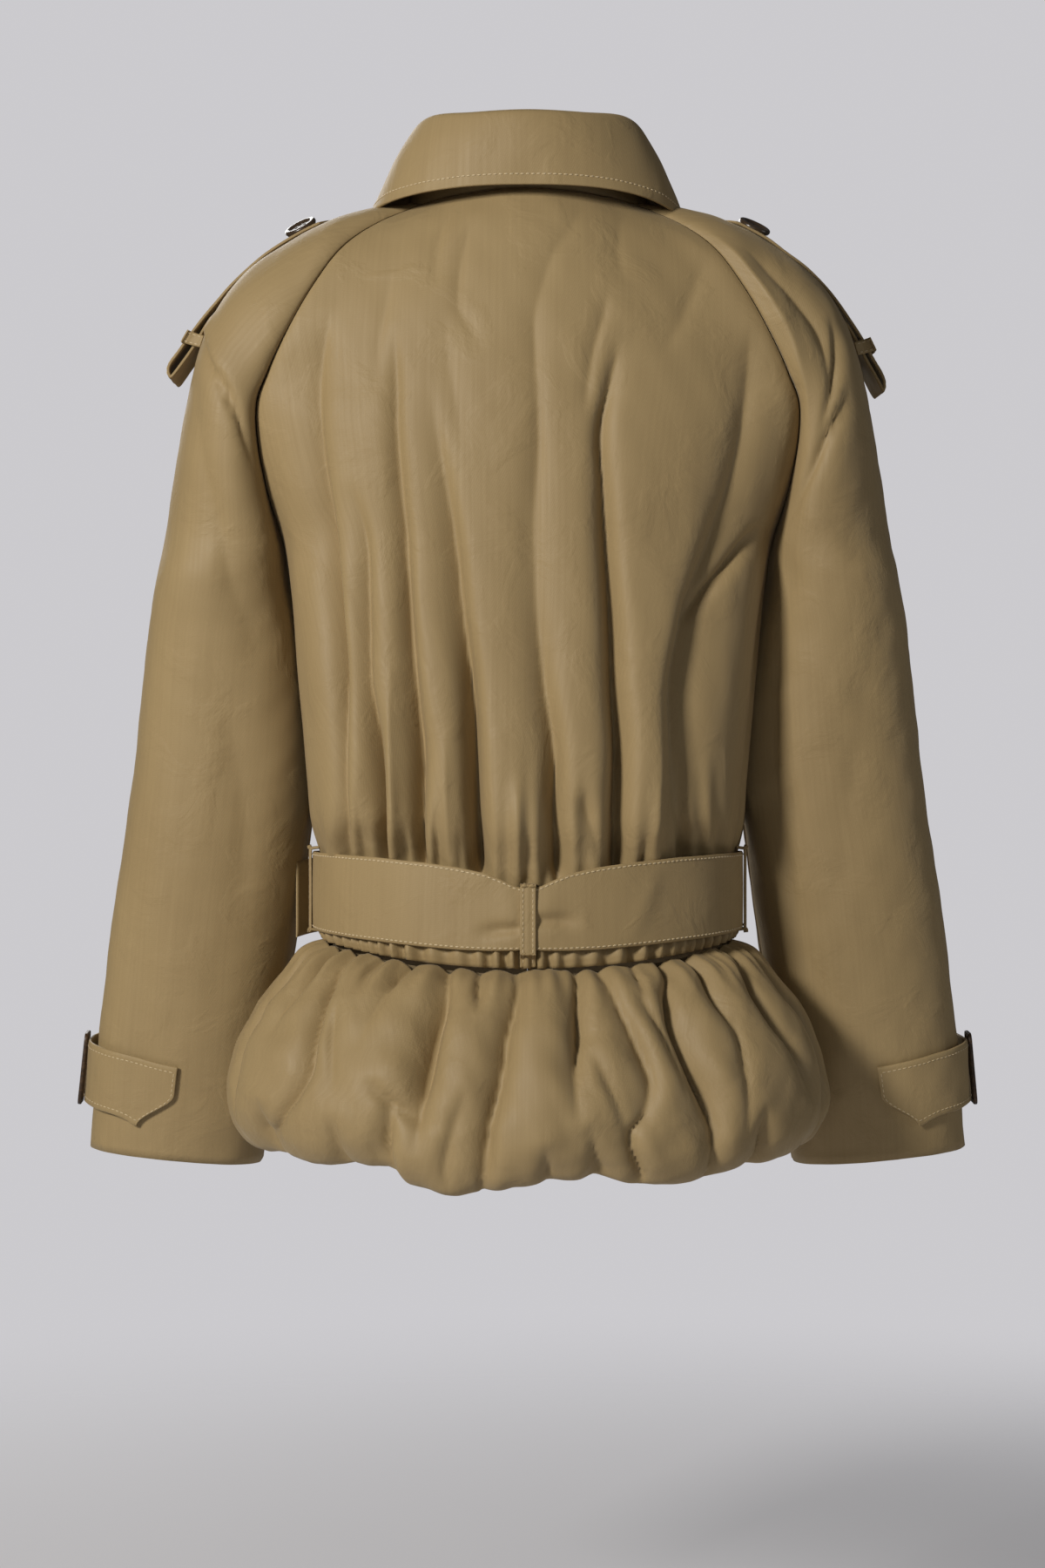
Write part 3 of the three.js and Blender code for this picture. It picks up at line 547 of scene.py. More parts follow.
BODY = table(
    "z half back front bend",
    [-264, 162, 113, -111, 0.56], [-294, 159, 114, -111, 0.54], [-327, 156, 115, -111, 0.54],
    [-361, 153, 116, -111, 0.54], [-395, 150, 116, -109, 0.56], [-425, 148, 113, -104, 0.64],
    [-449, 142, 102, -96, 0.85], [-474, 138, 96, -93, 1],
)
TUBE = table(
    "outX outZ inX inZ y fullness",
    [255, -258, 164, -262, -13, 69], [263, -298, 155, -302, -25, 70], [269, -343, 149, -347, -34, 70],
    [275, -389, 148, -393, -41, 69], [282, -434, 154, -439, -47, 68], [290, -479, 160, -485, -54, 66],
    [297, -524, 168, -531, -62, 64], [303, -568, 175, -577, -70, 62], [308, -612, 183, -622, -78, 60],
    [312, -655, 190, -667, -85, 58],
)
YOKE_END = 8
BODY_END = 16
SLEEVE_END = 18

# Each fold's nodes: height, place across (the wearer's left is plus), width to the plus side, width
# to the minus side, depth.
BACK_FOLDS = [
    [(-84, 130, 6, 4, 0), (-125, 138, 9, 5, 5), (-160, 139, 11, 5, 8), (-200, 137, 12, 5, 12),
     (-235, 133, 12, 4.5, 16), (-288, 128, 10, 3.5, 18), (-325, 125, 6, 3.5, 13), (-383, 124, 4, 4, 8),
     (-474, 122, 4, 4, 5)],
    [(-199, 118, 9, 7, 0), (-235, 108, 7, 4, 6), (-288, 107, 8, 5, 10), (-332, 107, 8, 5, 13),
     (-376, 102, 6.5, 4.5, 22), (-420, 100, 6, 4, 25), (-474, 98, 5, 4, 18)],
    [(-95, 88, 5, 4, 0), (-125, 87, 6, 4, 4), (-177, 86, 7, 4, 8), (-232, 82, 8, 4, 11),
     (-288, 79, 7, 4, 15), (-332, 76, 8, 4.5, 17), (-376, 73, 8, 6, 23), (-420, 74, 7, 5, 23),
     (-474, 72, 5, 4, 16)],
    [(-45, 89, 7, 7, 0), (-80, 94, 8, 6, 1.8), (-110, 99, 8, 6, 1.8), (-150, 103, 7, 6, 0)],
    [(-130, 66, 10, 7, 0), (-178, 58, 10, 6, 4), (-232, 49, 12, 4.5, 11), (-288, 43, 12, 4.5, 15),
     (-332, 38, 8, 4.5, 22), (-376, 36, 7, 4.5, 26), (-420, 35, 6, 4.5, 28), (-474, 32, 6, 4, 20)],
    [(-12, 50, 6, 6, 0), (-30, 58, 6, 5, 2), (-56, 61, 6, 5, 1.6), (-75, 60, 6, 6, 0)],
    [(-20, 36, 7, 6, 0), (-45, 43, 7, 5, 2), (-82, 46, 7, 5, 2.4), (-102, 36, 7, 6, 1.8),
     (-118, 30, 6, 6, 0)],
    [(-85, 57, 9, 8, 0), (-115, 53, 9, 8, 1.8), (-157, 46, 9, 8, 1.6), (-185, 42, 8, 8, 0)],
    [(-10, -38, 7, 6, 0), (-30, -28, 9, 7, 1.4), (-48, -16, 9, 7, 1.7), (-88, -5, 9, 6, 2.2),
     (-118, -5, 8, 5, 3.4), (-135, -6, 8, 5, 3), (-178, -7, 9, 6, 5.4), (-232, -4, 14, 10, 6.5),
     (-288, -6, 14, 11, 8.5), (-332, -11, 12, 7, 12), (-376, -18, 11, 4.5, 16), (-420, -18, 6, 4, 22),
     (-474, -20, 5, 4, 16)],
    [(-70, -53, 6, 4, 0), (-90, -50, 6, 4, 2.4), (-110, -44, 6, 3.4, 3), (-140, -39, 5.5, 3.4, 2.2),
     (-158, -38, 6, 5, 0)],
    [(-8, -65, 8, 7, 0), (-45, -60, 9, 7, 1.8), (-70, -65, 8, 7, 0)],
    [(-105, -60, 5, 6, 0), (-126, -56, 4.5, 6, 5), (-165, -48, 4.5, 5, 10), (-204, -50, 6, 5, 13),
     (-232, -52, 7, 5, 16), (-288, -56, 7, 5, 20), (-332, -58, 7, 6, 22), (-376, -61, 6, 6, 26),
     (-420, -61, 6, 6, 26), (-474, -62, 5, 5, 18)],
    [(-40, -121, 8, 7, 0), (-65, -112, 8, 7, 2), (-95, -100, 8, 7, 1.8), (-118, -88, 7, 6, 0)],
    [(-95, -146, 8, 8, 0), (-120, -147, 9, 9, 4), (-157, -145, 10, 10, 7), (-190, -139, 10, 14, 8),
     (-232, -126, 8, 22, 11), (-270, -112, 6, 30, 15), (-288, -106, 5, 36, 17), (-332, -99, 6, 40, 19),
     (-376, -101, 9, 40, 19), (-420, -104, 12, 34, 17), (-474, -108, 8, 24, 10)],
    [(-222, -160, 5, 5, 0), (-236, -150, 5, 6, 7), (-258, -133, 5, 6, 9), (-282, -114, 4, 6, 4),
     (-292, -110, 4, 4, 0)],
    [(-316, 91, 5, 5, 0), (-370, 91, 5, 4, -4), (-440, 88, 5, 4, -4), (-472, 88, 5, 4, 0)],
    [(-362, 55, 5, 5, 0), (-400, 54, 5, 4, -3), (-450, 52, 5, 4, -3), (-472, 51, 5, 5, 0)],
    [(-392, 6, 10, 10, 0), (-425, 6, 11, 9, -6), (-456, 5, 9, 8, -4), (-474, 5, 8, 8, 0)],
    [(-400, -36, 6, 5, 0), (-418, -40, 9, 6, 7), (-440, -45, 7, 5, 4), (-455, -47, 5, 5, 0)],
    [(-415, 62, 3, 3, 0), (-440, 60, 3.5, 3, 5), (-474, 59, 3.5, 3, 6)],
    [(-420, 83, 3, 3, 0), (-445, 82, 3, 3, 4), (-474, 81, 3, 3, 5)],
    [(-410, 46, 3, 3, 0), (-440, 45, 3, 3, 3), (-474, 44, 3, 3, 4)],
    [(-400, 115, 3, 3, 0), (-440, 113, 4, 3, 4), (-474, 112, 4, 3, 4)],
    [(-425, -88, 3, 4, 0), (-450, -90, 3, 4, 4), (-474, -91, 3, 4, 5)],
    [(-430, -78, 3, 3, 0), (-455, -76, 3, 3, 4), (-474, -75, 3, 3, 5)],
    [(-330, -88, 9, 9, 0), (-390, -88, 9, 8, -4), (-450, -82, 7, 6, -4), (-474, -82, 6, 6, 0)],
]
FRONT_FOLDS = [
    [(-190, 118, 12, 12, 0), (-280, 122, 13, 11, 8), (-380, 117, 12, 10, 10), (-474, 112, 8, 8, 7)],
    [(-150, 76, 11, 11, 0), (-250, 82, 12, 10, 8), (-380, 80, 11, 9, 11), (-474, 76, 8, 7, 9)],
    [(-230, 44, 9, 9, 0), (-330, 47, 10, 8, 6), (-474, 42, 7, 7, 8)],
    [(-210, -50, 10, 10, 0), (-320, -47, 10, 9, 7), (-474, -42, 7, 7, 8)],
    [(-160, -88, 11, 11, 0), (-270, -82, 12, 10, 9), (-390, -79, 11, 9, 11), (-474, -78, 8, 7, 9)],
    [(-200, -124, 12, 12, 0), (-300, -119, 12, 11, 7), (-474, -114, 8, 8, 8)],
]
OVERLAP = 20
LAP_LIFT = 2.3
SEAM_REACH = 12.0


def waist_gathers(x, z):
    """Small uneven gathers that grow from 60 mm above the waist seam: waves 9 to 16 mm apart."""
    grow = smooth(-z, 350, 462) ** 1.5 * (1 - 0.8 * smooth(-z, 462, 473))
    wave = np.sin(x / 2.5 + 2.3 * np.sin(x / 17.0 + 0.6)) + 0.7 * np.sin(x / 4.4 + 1.1)
    return 1.7 * grow * wave


def waist_close(z):
    """How much of a fold is left at a height: all of it down to 452 mm, a tenth at the waist seam."""
    return 1 - 0.9 * smooth(-z, 452, 472)


def down_through(yoke, below, place):
    """A smooth curve down a column of the yoke and the column that follows it."""
    return along(np.concatenate([yoke, below]), place)


def body_level(place, side):
    """The edge, middle and bend of the back or front at places down it, in rows.

    The yoke's rows come first. Below them the edge lies on the side seam, where y is 0.
    """
    middle = "midBack" if side == "back" else "midFront"
    columns = {
        "edgeX": (side + "X", BODY["half"]),
        "edgeY": (side + "Y", np.zeros(len(BODY["z"]))),
        "edgeZ": (side + "Z", BODY["z"]),
        "midY": (middle + "Y", BODY[side]),
        "midZ": (middle + "Z", BODY["z"]),
        "bend": (side + "Bend", BODY["bend"]),
    }
    return {key: down_through(YOKE[name], below, place) for key, (name, below) in columns.items()}


def body_surface(level, x):
    """Points of the levels at x: from edge to middle, y rises as a quarter circle taken to the
    level's bend, and z moves by the square of the share of the way out.
    """
    share = np.clip(np.abs(x) / level["edgeX"], 0, 1)
    arch = np.sqrt(1 - share**2) ** level["bend"]
    y = mix(level["edgeY"], level["midY"], arch)
    return points(x, y, mix(level["midZ"], level["edgeZ"], share**2))


def seam_distances(grid, skip=None):
    """How far each point lies from the first and the last column, without the one to skip."""
    across = lengths(grid, 1)
    away = {"first": across, "last": across[:, -1:] - across}
    return [away[side] for side in away if side != skip]


def worked(grid, deep, rises, skip=None, lift=0.0):
    """The grid lifted, with its folds and puckers, which fade within 12 mm of its side seams, and
    with a groove 0.3 mm deep where the cloth turns into a seam.
    """
    away = seam_distances(grid, skip)
    free = math.prod(smooth(far, 0, SEAM_REACH) for far in away)
    return moved(grid, lift + (rises - deep) * free - 0.3 * sum(bell(far, 1.8) for far in away))


def with_allowance(grid, sides, rows=1.0):
    """The grid and its normals with seam allowances that step in under the next piece.

    An allowance is two columns, set on along the cloth by 0.1 and 3 mm and in by 1.9 mm. rows gives
    the share of that width at each row.
    """
    normals = facing(grid)
    for side in sides:
        turn = slice(None, None, 1 if side == "first" else -1)
        grid, normals = grid[:, turn], normals[:, turn]
        onward = unit(grid[:, 0] - grid[:, 1])
        foot = grid[:, 0] - normals[:, 0] * 1.9
        steps = [foot + onward * np.reshape(width * rows, (-1, 1)) for width in (3.0, 0.1)]
        grid = np.concatenate([np.stack(steps, axis=1), grid], axis=1)[:, turn]
        normals = np.concatenate([normals[:, [0, 0]], normals], axis=1)[:, turn]
    return grid, normals


def seam_fill(grid, place, leans):
    """The rise of the cloth along the back raglan seams, where body and sleeve lie in one sweep.

    It is 7 mm on the seam, falls off over 23 mm and dies away at the neck and the underarm. leans
    holds its lean in x at the first column's seam and, if it has one, at the last column's.
    """
    rise = 7.0 * smooth(place, 0.3, 2.5) * (1 - smooth(place, 6.4, YOKE_END))
    fills = zip(seam_distances(grid), leans)
    return sum((rise * bell(far, 23))[..., None] * np.array([x, 0.94, 0.1]) for far, x in fills)


def back_surface(rows=152, columns=270):
    """The back panel, from seam to seam and from the neck to the waist seam."""
    place = np.linspace(0, BODY_END, rows)[:, None]
    level = body_level(place, "back")
    angle = np.linspace(-0.5, 0.5, columns)[None] * np.pi
    grid = body_surface(level, (level["edgeX"] - SEAM_GAP / 2) * np.sin(angle))
    x, z = grid[..., 0], grid[..., 2]
    deep = troughs(BACK_FOLDS, x, z) * waist_close(z) + waist_gathers(x, z)
    return worked(grid, deep, puckers(grid, 3, 20.0, 0.7)) + seam_fill(grid, place, (-0.3, 0.3))


def front_surface(side, rows=150, columns=104):
    """One front. Both lap over the middle line, and the wearer's right lies on the left."""
    over = side == "right"
    level = body_level(np.linspace(0, BODY_END, rows)[:, None], "front")
    t = np.linspace(0, 1, columns)[None]
    spread = (level["edgeX"] - SEAM_GAP / 2 - OVERLAP) * np.cos(np.clip(t / 0.84, 0, 1) * np.pi / 2)
    x = OVERLAP + spread - 2 * OVERLAP * np.clip((t - 0.84) / 0.16, 0, 1)
    grid = body_surface(level, -x[:, ::-1] if over else x)
    x, z = grid[..., 0], grid[..., 2]
    gathers = waist_gathers(x + 3, z) * smooth(np.abs(x), 24, 40)
    deep = troughs(FRONT_FOLDS, x, z) * waist_close(z) + gathers
    lift = LAP_LIFT * (1 - smooth(x, 20, 54)) if over else 0.0
    return worked(grid, deep, puckers(grid, 5, 16.0, 0.7), "first" if over else "last", lift)


# ---- Sleeves ---------------------------------------------------------------------------------

# These folds' places and widths are shares of the way from the back seam to the front seam.
SLEEVE_FOLDS = {
    "left": [
        [(-92, 0.34, 0.03, 0.02, 0), (-110, 0.29, 0.03, 0.02, 6), (-132, 0.19, 0.03, 0.02, 8),
         (-152, 0.11, 0.03, 0.02, 5), (-185, 0.07, 0.03, 0.02, 0)],
        [(-78, 0.37, 0.025, 0.03, 0), (-94, 0.34, 0.02, 0.03, -4), (-116, 0.25, 0.02, 0.03, -5),
         (-142, 0.15, 0.02, 0.03, 0)],
        [(-120, 0.34, 0.05, 0.05, 0), (-220, 0.25, 0.05, 0.05, 4), (-330, 0.15, 0.05, 0.05, 0)],
        [(-300, 0.28, 0.06, 0.05, 0), (-410, 0.2, 0.06, 0.05, 4), (-520, 0.16, 0.06, 0.06, 0)],
        [(-420, 0.4, 0.06, 0.06, 0), (-540, 0.34, 0.06, 0.06, 3), (-655, 0.3, 0.06, 0.06, 1)],
    ],
    "right": [
        [(-24, 0.05, 0.03, 0.03, 0), (-50, 0.06, 0.03, 0.03, -3), (-95, 0.07, 0.03, 0.03, -4),
         (-130, 0.06, 0.03, 0.03, -3), (-160, 0.06, 0.03, 0.03, 0)],
        [(-40, 0.13, 0.05, 0.03, 0), (-60, 0.15, 0.05, 0.04, 5), (-97, 0.19, 0.05, 0.04, 7),
         (-125, 0.17, 0.05, 0.04, 4), (-150, 0.14, 0.04, 0.04, 0)],
        [(-85, 0.27, 0.03, 0.02, 0), (-100, 0.26, 0.03, 0.02, 5), (-125, 0.21, 0.03, 0.02, 7),
         (-150, 0.15, 0.03, 0.02, 4), (-175, 0.11, 0.03, 0.02, 0)],
        [(-132, 0.28, 0.03, 0.02, 0), (-148, 0.23, 0.03, 0.02, 5), (-168, 0.16, 0.03, 0.02, 7),
         (-200, 0.1, 0.03, 0.02, 3), (-230, 0.07, 0.03, 0.02, 0)],
        [(-200, 0.1, 0.06, 0.05, 0), (-300, 0.12, 0.07, 0.05, 5), (-450, 0.13, 0.07, 0.06, 6),
         (-600, 0.15, 0.08, 0.06, 4), (-660, 0.15, 0.08, 0.06, 2)],
        [(-290, 0.33, 0.06, 0.05, 0), (-400, 0.27, 0.06, 0.05, 3), (-500, 0.2, 0.06, 0.05, 0)],
    ],
}
SLEEVE_FRONT_FOLDS = [
    [(-100, 0.82, 0.04, 0.05, 0), (-200, 0.85, 0.04, 0.05, 6), (-340, 0.88, 0.05, 0.05, 0)],
    [(-320, 0.68, 0.06, 0.06, 0), (-440, 0.78, 0.06, 0.06, 5), (-560, 0.84, 0.06, 0.06, 0)],
    [(-140, 0.7, 0.04, 0.03, 0), (-190, 0.78, 0.04, 0.03, 5), (-235, 0.86, 0.04, 0.03, 0)],
    [(-460, 0.62, 0.06, 0.06, 0), (-560, 0.66, 0.06, 0.06, 3), (-660, 0.68, 0.06, 0.06, 1)],
]


def sleeve_line(place, line, edge, gap):
    """Points of a line down a sleeve: its back seam, its front seam or its shoulder line."""
    below = TUBE[edge + "X"], TUBE["y"] + gap, TUBE[edge + "Z"]
    return points(
        *(down_through(YOKE[line + axis], column, place) for axis, column in zip("XYZ", below))
    )


def sleeve_surface(side, rows=140, columns=120):
    """A sleeve as the left one: each level runs from the back seam over the shoulder line to the
    front seam. With a turn from 0 to pi, its point is the seams' middle, plus half their distance
    by the turn's cosine, plus the rise to the shoulder line by its sine taken to the level's bend,
    plus the fullness towards the back by the sine of twice the turn, taken to 0.64.
    """
    place = np.linspace(0, SLEEVE_END, rows)[:, None]
    back = sleeve_line(place, "back", "in", SEAM_GAP / 2)
    front = sleeve_line(place, "front", "in", -SEAM_GAP / 2)
    share = np.linspace(0, 1, columns)[None]
    turn = share[..., None] * np.pi
    middle = (back + front) / 2
    rise = sleeve_line(place, "top", "out", 0) - middle
    bend = down_through(YOKE["capBend"], np.full(len(TUBE["y"]), 2.0), place)
    sine = np.maximum(np.sin(turn), 0) ** bend[..., None]
    grid = middle + unit(rise) * SEAM_GAP + (back - front) * np.cos(turn) / 2 + rise * sine
    double = np.sin(2 * share * np.pi)
    fullness = down_through(YOKE["fullness"], TUBE["fullness"], place)
    grid[..., 1] += fullness * np.sign(double) * np.abs(double) ** 0.64
    deep = troughs(SLEEVE_FOLDS[side] + SLEEVE_FRONT_FOLDS, share, grid[..., 2])
    rises = puckers(grid, 11 if side == "left" else 12, 18.0, 0.9)
    return worked(grid, deep, rises) + seam_fill(grid, place, (0.3,))


# ---- Collar ----------------------------------------------------------------------------------

COLLAR = table(
    "neckX neckY neckZ foldX foldY foldZ edgeX edgeY edgeZ",
    [0, 62, 0, 0, 70, 47, 0, 78, -1], [34, 54, -0.8, 36, 62, 47, 44, 73, -1.6],
    [62, 36, -2.6, 65, 40, 49, 82, 54, -4], [81.5, 14, -2.4, 78, 12, 41, 106, 18, -7],
    [84, -12, -6.5, 75, -18, 32, 108, -30, -12], [62, -41, -31, 56, -48, 10, 93, -64, -38],
    [6, -70, -58, 6, -68, -24, 58, -88, -76],
)
FALL_SECTION = table(
    "out up share",
    [-1.6, 3.1, 0], [1.6, 3.1, 0], [5.2, -0.8, 0], [5.6, 0, 0.3], [3.4, 0, 0.65], [0, 0, 1],
)


def collar_line(line, share):
    """Points of one of the collar's three lines, from its right end at -1 to its left end at 1."""
    halves = ((COLLAR[line + axis], sign) for axis, sign in zip("XYZ", (-1, 1, 1)))
    whole = (np.concatenate([sign * half[:0:-1], half]) for half, sign in halves)
    return points(*(along(column, (share + 1) * 6) for column in whole))


def stand_surface(rows=10, columns=160):
    """The collar's stand, from the fold line down to 3 mm under the neck line."""
    share = np.linspace(-1, 1, columns)[None]
    foot = collar_line("neck", share) * np.array([0.97, 0.97, 1]) - np.array([0, 0, 3.0])
    return mix(collar_line("fold", share), foot, np.linspace(0, 1, rows)[:, None, None])


def fall_surface(rows=46, columns=230):
    """The collar's fall: its section of six rows, carried round the fold line."""
    share = np.linspace(-1, 1, columns)[None]
    flat = np.linspace(2.2, 4.9, rows - 16)[1:]
    place = np.concatenate([np.linspace(0, 2.2, 14), flat, [4.94, 4.975, 5]])[:, None]
    section = levels(FALL_SECTION, place)
    fold = collar_line("fold", share)
    edge = collar_line("edge", share)
    # the wearer's right end of the fall hangs lower than the left
    edge[..., 2] -= 5.0 * bell(share + 0.5, 0.16)
    outward = unit(fold * np.array([1, 1, 0]))
    grid = mix(fold, edge, section["share"][..., None]) + outward * section["out"][..., None]
    grid[..., 2] += section["up"]
    inside = smooth(place, 2, 3.5) * (1 - smooth(place, 4.6, 5))
    return moved(grid, puckers(grid, 31, 34.0, 1.2) * inside)


# ---- Waist and peplum ------------------------------------------------------------------------

SIDE_RISE = 15
PEPLUM = table(
    "half side back front z rise tuck",
    [140, 0, 100, -98, -519.3, 1, 0], [156, 6, 118, -104, -525, 0.95, 0],
    [169, 12, 135, -109, -538, 0.8, 0], [187, 17, 151, -115, -556, 0.5, 0],
    [202, 20, 165, -120, -582, 0.2, 0], [206, 22, 170, -122, -610, 0, 0.3],
    [203, 22, 168, -121, -633, 0, 0.8], [194, 21, 160, -117, -648, 0, 1],
    [181, 19, 149, -110, -654, 0, 0.8], [168, 17, 139, -102, -648, 0, 0.2],
    [164, 16, 135, -99, -638, 0, 0],
)
PEPLUM_END = 10
INNER = table(
    "half side back front z rise",
    [134, 0, 93, -91, -523, 1], [150, 10, 118, -95, -580, 0], [166, 16, 137, -101, -636.8, 0],
)


def side_fold(angles, depths, wide, sign, end=-8.6):
    """A fold down the whole peplum at a side, widest in the middle on the side that sign gives."""
    widths = [(3, 3), (4, 3), (wide, 3), (4, 3), (4, 4)]
    rows = (0, -2, -4, -6, end)
    return [
        (row, angle, *pair[::sign], depth)
        for row, angle, pair, depth in zip(rows, angles, widths, (*depths, 0))
    ]


# Each fold's nodes: row down (as a minus), angle from the centre back, widths and depth.
PEPLUM_FOLDS = [
    [(0, 55, 2, 2, 5), (-1.6, 53, 2.5, 2, 13), (-2.8, 49.6, 2.5, 2, 16), (-4.1, 46.3, 3, 2, 15),
     (-5.2, 52, 3, 2, 11), (-6.4, 58, 3, 3, 8), (-8, 62, 4, 4, 0)],
    [(0, 21.5, 2, 1.6, 6), (-1.2, 19.4, 3.5, 1.6, 14), (-2.8, 19.4, 4.4, 1.6, 28),
     (-4.1, 19.5, 3.6, 1.8, 27), (-5, 20.4, 3, 2, 10), (-6, 21, 3, 2, 0)],
    [(0, 3.4, 2, 1.6, 5), (-1.4, 2.6, 2.4, 1.6, 10), (-2.8, 4, 3.5, 1.6, 16), (-4.1, 5.1, 3.5, 2, 18),
     (-5.2, 7.1, 3, 1.8, 17), (-6.6, 8, 3, 2, 12), (-8, 9, 3, 2.5, 7), (-9, 9, 3, 3, 0)],
    [(0, 13, 2, 1.6, 6), (-1.4, 11.6, 2, 1.6, 9), (-2.4, 10.6, 2.4, 1.8, 0)],
    [(-4.4, 26.4, 2.4, 2, 0), (-5.2, 26.4, 2.4, 2, 12), (-6.4, 28, 2.4, 2, 14), (-7.6, 28.4, 3, 2.4, 8),
     (-8.6, 29, 3, 3, 0)],
    [(0, -12.7, 1.8, 2, 5), (-1.4, -11.4, 1.8, 2.4, 12), (-2.8, -10.3, 1.8, 2.6, 17),
     (-4.1, -8.8, 2.4, 2.6, 9), (-5.2, -9, 3, 3, 0)],
    [(0, -19, 2, 2, 4), (-1.4, -20.4, 4, 1.8, 9), (-2.8, -22.2, 6, 1.6, 15), (-4.1, -23.9, 6, 1.6, 14),
     (-4.9, -22, 3.4, 2, 9), (-5.5, -19, 2.2, 2, 12), (-7, -21.5, 2.4, 2, 11), (-8.6, -24, 3, 3, 0)],
    [(0, -38, 2, 2.5, 6), (-0.8, -36.4, 2, 3, 13), (-2, -33.6, 2.2, 3.4, 20),
     (-2.8, -32.4, 2.2, 3.8, 24), (-4.1, -34.4, 3.2, 3.6, 28), (-5.2, -37.3, 6, 2, 20),
     (-6, -38, 4, 2.2, 14), (-8.6, -40, 4, 4, 0)],
    [(0, -67, 2.4, 2.4, 5), (-1.4, -65.6, 3, 2.4, 11), (-2.8, -61.5, 3, 2.4, 15), (-3.8, -64, 3, 3, 9),
     (-5, -66, 4, 4, 0)],
    [(-4.8, 60, 2.4, 2.4, 0), (-5.8, 61, 2.4, 2.2, 10), (-7, 62, 2.6, 2.4, 7), (-8.4, 62, 3, 3, 0)],
    [(-5.6, -3, 2, 2, 0), (-6.6, -3.6, 2, 1.8, 7), (-7.6, -4, 2.2, 2, 5), (-8.8, -4, 3, 3, 0)],
    [(-4.8, -49, 2.2, 2.2, 0), (-5.8, -50, 2.4, 2, 10), (-7, -52.4, 2.4, 2, 10), (-8.6, -53, 3, 3, 0)],
    [(-5, -11.4, 2, 2, 0), (-6, -12.2, 2, 2, 6), (-7.4, -13.8, 2.2, 2.2, 7), (-8.6, -14, 3, 3, 0)],
    [(-5, 38, 2, 2, 0), (-5.8, 38.4, 2, 2, 7), (-7.2, 39, 2.2, 2, 7), (-8.8, 39, 3, 3, 0)],
    [(-4.1, 31, 1.6, 3, 0), (-4.5, 28, 1.6, 3, 7), (-4.9, 23, 1.6, 3, 7), (-5.2, 20, 1.6, 3, 2)],
    [(-2.2, 46, 1.6, 2.6, 0), (-3, 43.6, 1.4, 3, 6), (-3.9, 40, 1.6, 3, 5), (-4.6, 38, 2, 2, 0)],
    [(-1.5, -26, 2.4, 1.4, 0), (-2.4, -28, 3, 1.4, 7), (-3.6, -30, 3, 1.4, 6), (-4.6, -31, 2, 2, 0)],
    [(-3.2, -12, 1.4, 2.6, 0), (-4.1, -14.6, 1.4, 3, 6), (-5, -17, 1.4, 3, 4), (-5.5, -18, 2, 2, 0)],
    [(-2.6, -49, 3, 1.4, 0), (-3.6, -46.6, 3, 1.4, 6), (-4.8, -45, 3, 1.6, 5), (-5.8, -45, 2, 2, 0)],
    [(-4.2, 11, 1.6, 2.6, 0), (-5, 13.4, 1.4, 3, 5), (-6, 15.4, 1.6, 3, 6), (-7.4, 16, 2, 2, 0)],
    [(0, 33, 2, 1.6, 4), (-0.8, 33.6, 2, 1.6, 7), (-1.8, 34.5, 2.4, 2, 0)],
    [(0, 43, 2, 1.6, 4), (-0.8, 43, 2, 1.6, 6), (-2, 42, 2.4, 2, 0)],
    [(0, -29, 1.8, 1.6, 4), (-0.9, -28, 2, 1.6, 8), (-2.2, -27.4, 2.4, 2, 0)],
    [(0, -48, 2, 1.8, 4), (-1, -48, 2.4, 1.8, 8), (-2.4, -47, 3, 2.4, 5), (-3.6, -47, 4, 4, 0)],
    [(0, -56, 2, 1.6, 3), (-0.9, -56, 2, 1.6, 6), (-2, -55, 2, 2, 0)],
    [(0, 65, 2, 1.6, 4), (-1.2, 64, 2.4, 1.6, 8), (-2.6, 63, 3, 2, 4), (-3.6, 62, 3, 3, 0)],
    side_fold((75, 78, 77, 80, 82), (4, 9, 12, 8), 5, 1, -8.4),
    side_fold((-78, -79, -82, -80, -79), (4, 8, 12, 8), 5, 1, -8.4),
    [(0, 33, 2.5, 2, 3), (-1.2, 33.6, 3, 2, 6), (-2.6, 34.5, 3, 2, 4), (-3.6, 35, 3, 3, 0)],
    [(0, -48, 3, 2, 3), (-1.2, -48, 3, 2, 6), (-2.8, -47, 4, 3, 5), (-4.2, -48, 4, 4, 0)],
    [(0, 65, 2.5, 2, 3), (-1.2, 64, 3, 2, 6), (-2.6, 63, 3, 2, 3), (-3.6, 62, 3, 3, 0)],
    side_fold((98, 99, 101, 99, 98), (4, 9, 14, 9), 6, 1),
    side_fold((119, 117, 115, 117, 118), (4, 9, 13, 8), 6, 1),
    side_fold((137, 138, 140, 138, 137), (4, 8, 13, 8), 6, 1),
    side_fold((158, 157, 157, 159, 160), (3, 7, 10, 7), 5, 1),
    side_fold((-97, -98, -98, -97, -96), (4, 9, 13, 9), 6, -1),
    side_fold((-116, -117, -118, -115, -114), (4, 9, 14, 8), 6, -1),
    side_fold((-138, -137, -135, -137, -139), (4, 8, 12, 8), 6, -1),
    side_fold((-158, -159, -160, -158, -157), (3, 7, 10, 7), 5, -1),
]
HEM_LINE = table(
    "angle rise",
    [-180, 2], [-130, -3], [-100, 3], [-80, 12], [-60, 7], [-45, 1], [-35, -2], [-24, -3], [-13.6, 3],
    [3, -2], [10, -8], [17, -7], [25, -3], [30, 7], [45, 8], [60, 9], [80, 11], [100, 3], [130, -3],
    [180, 2],
)


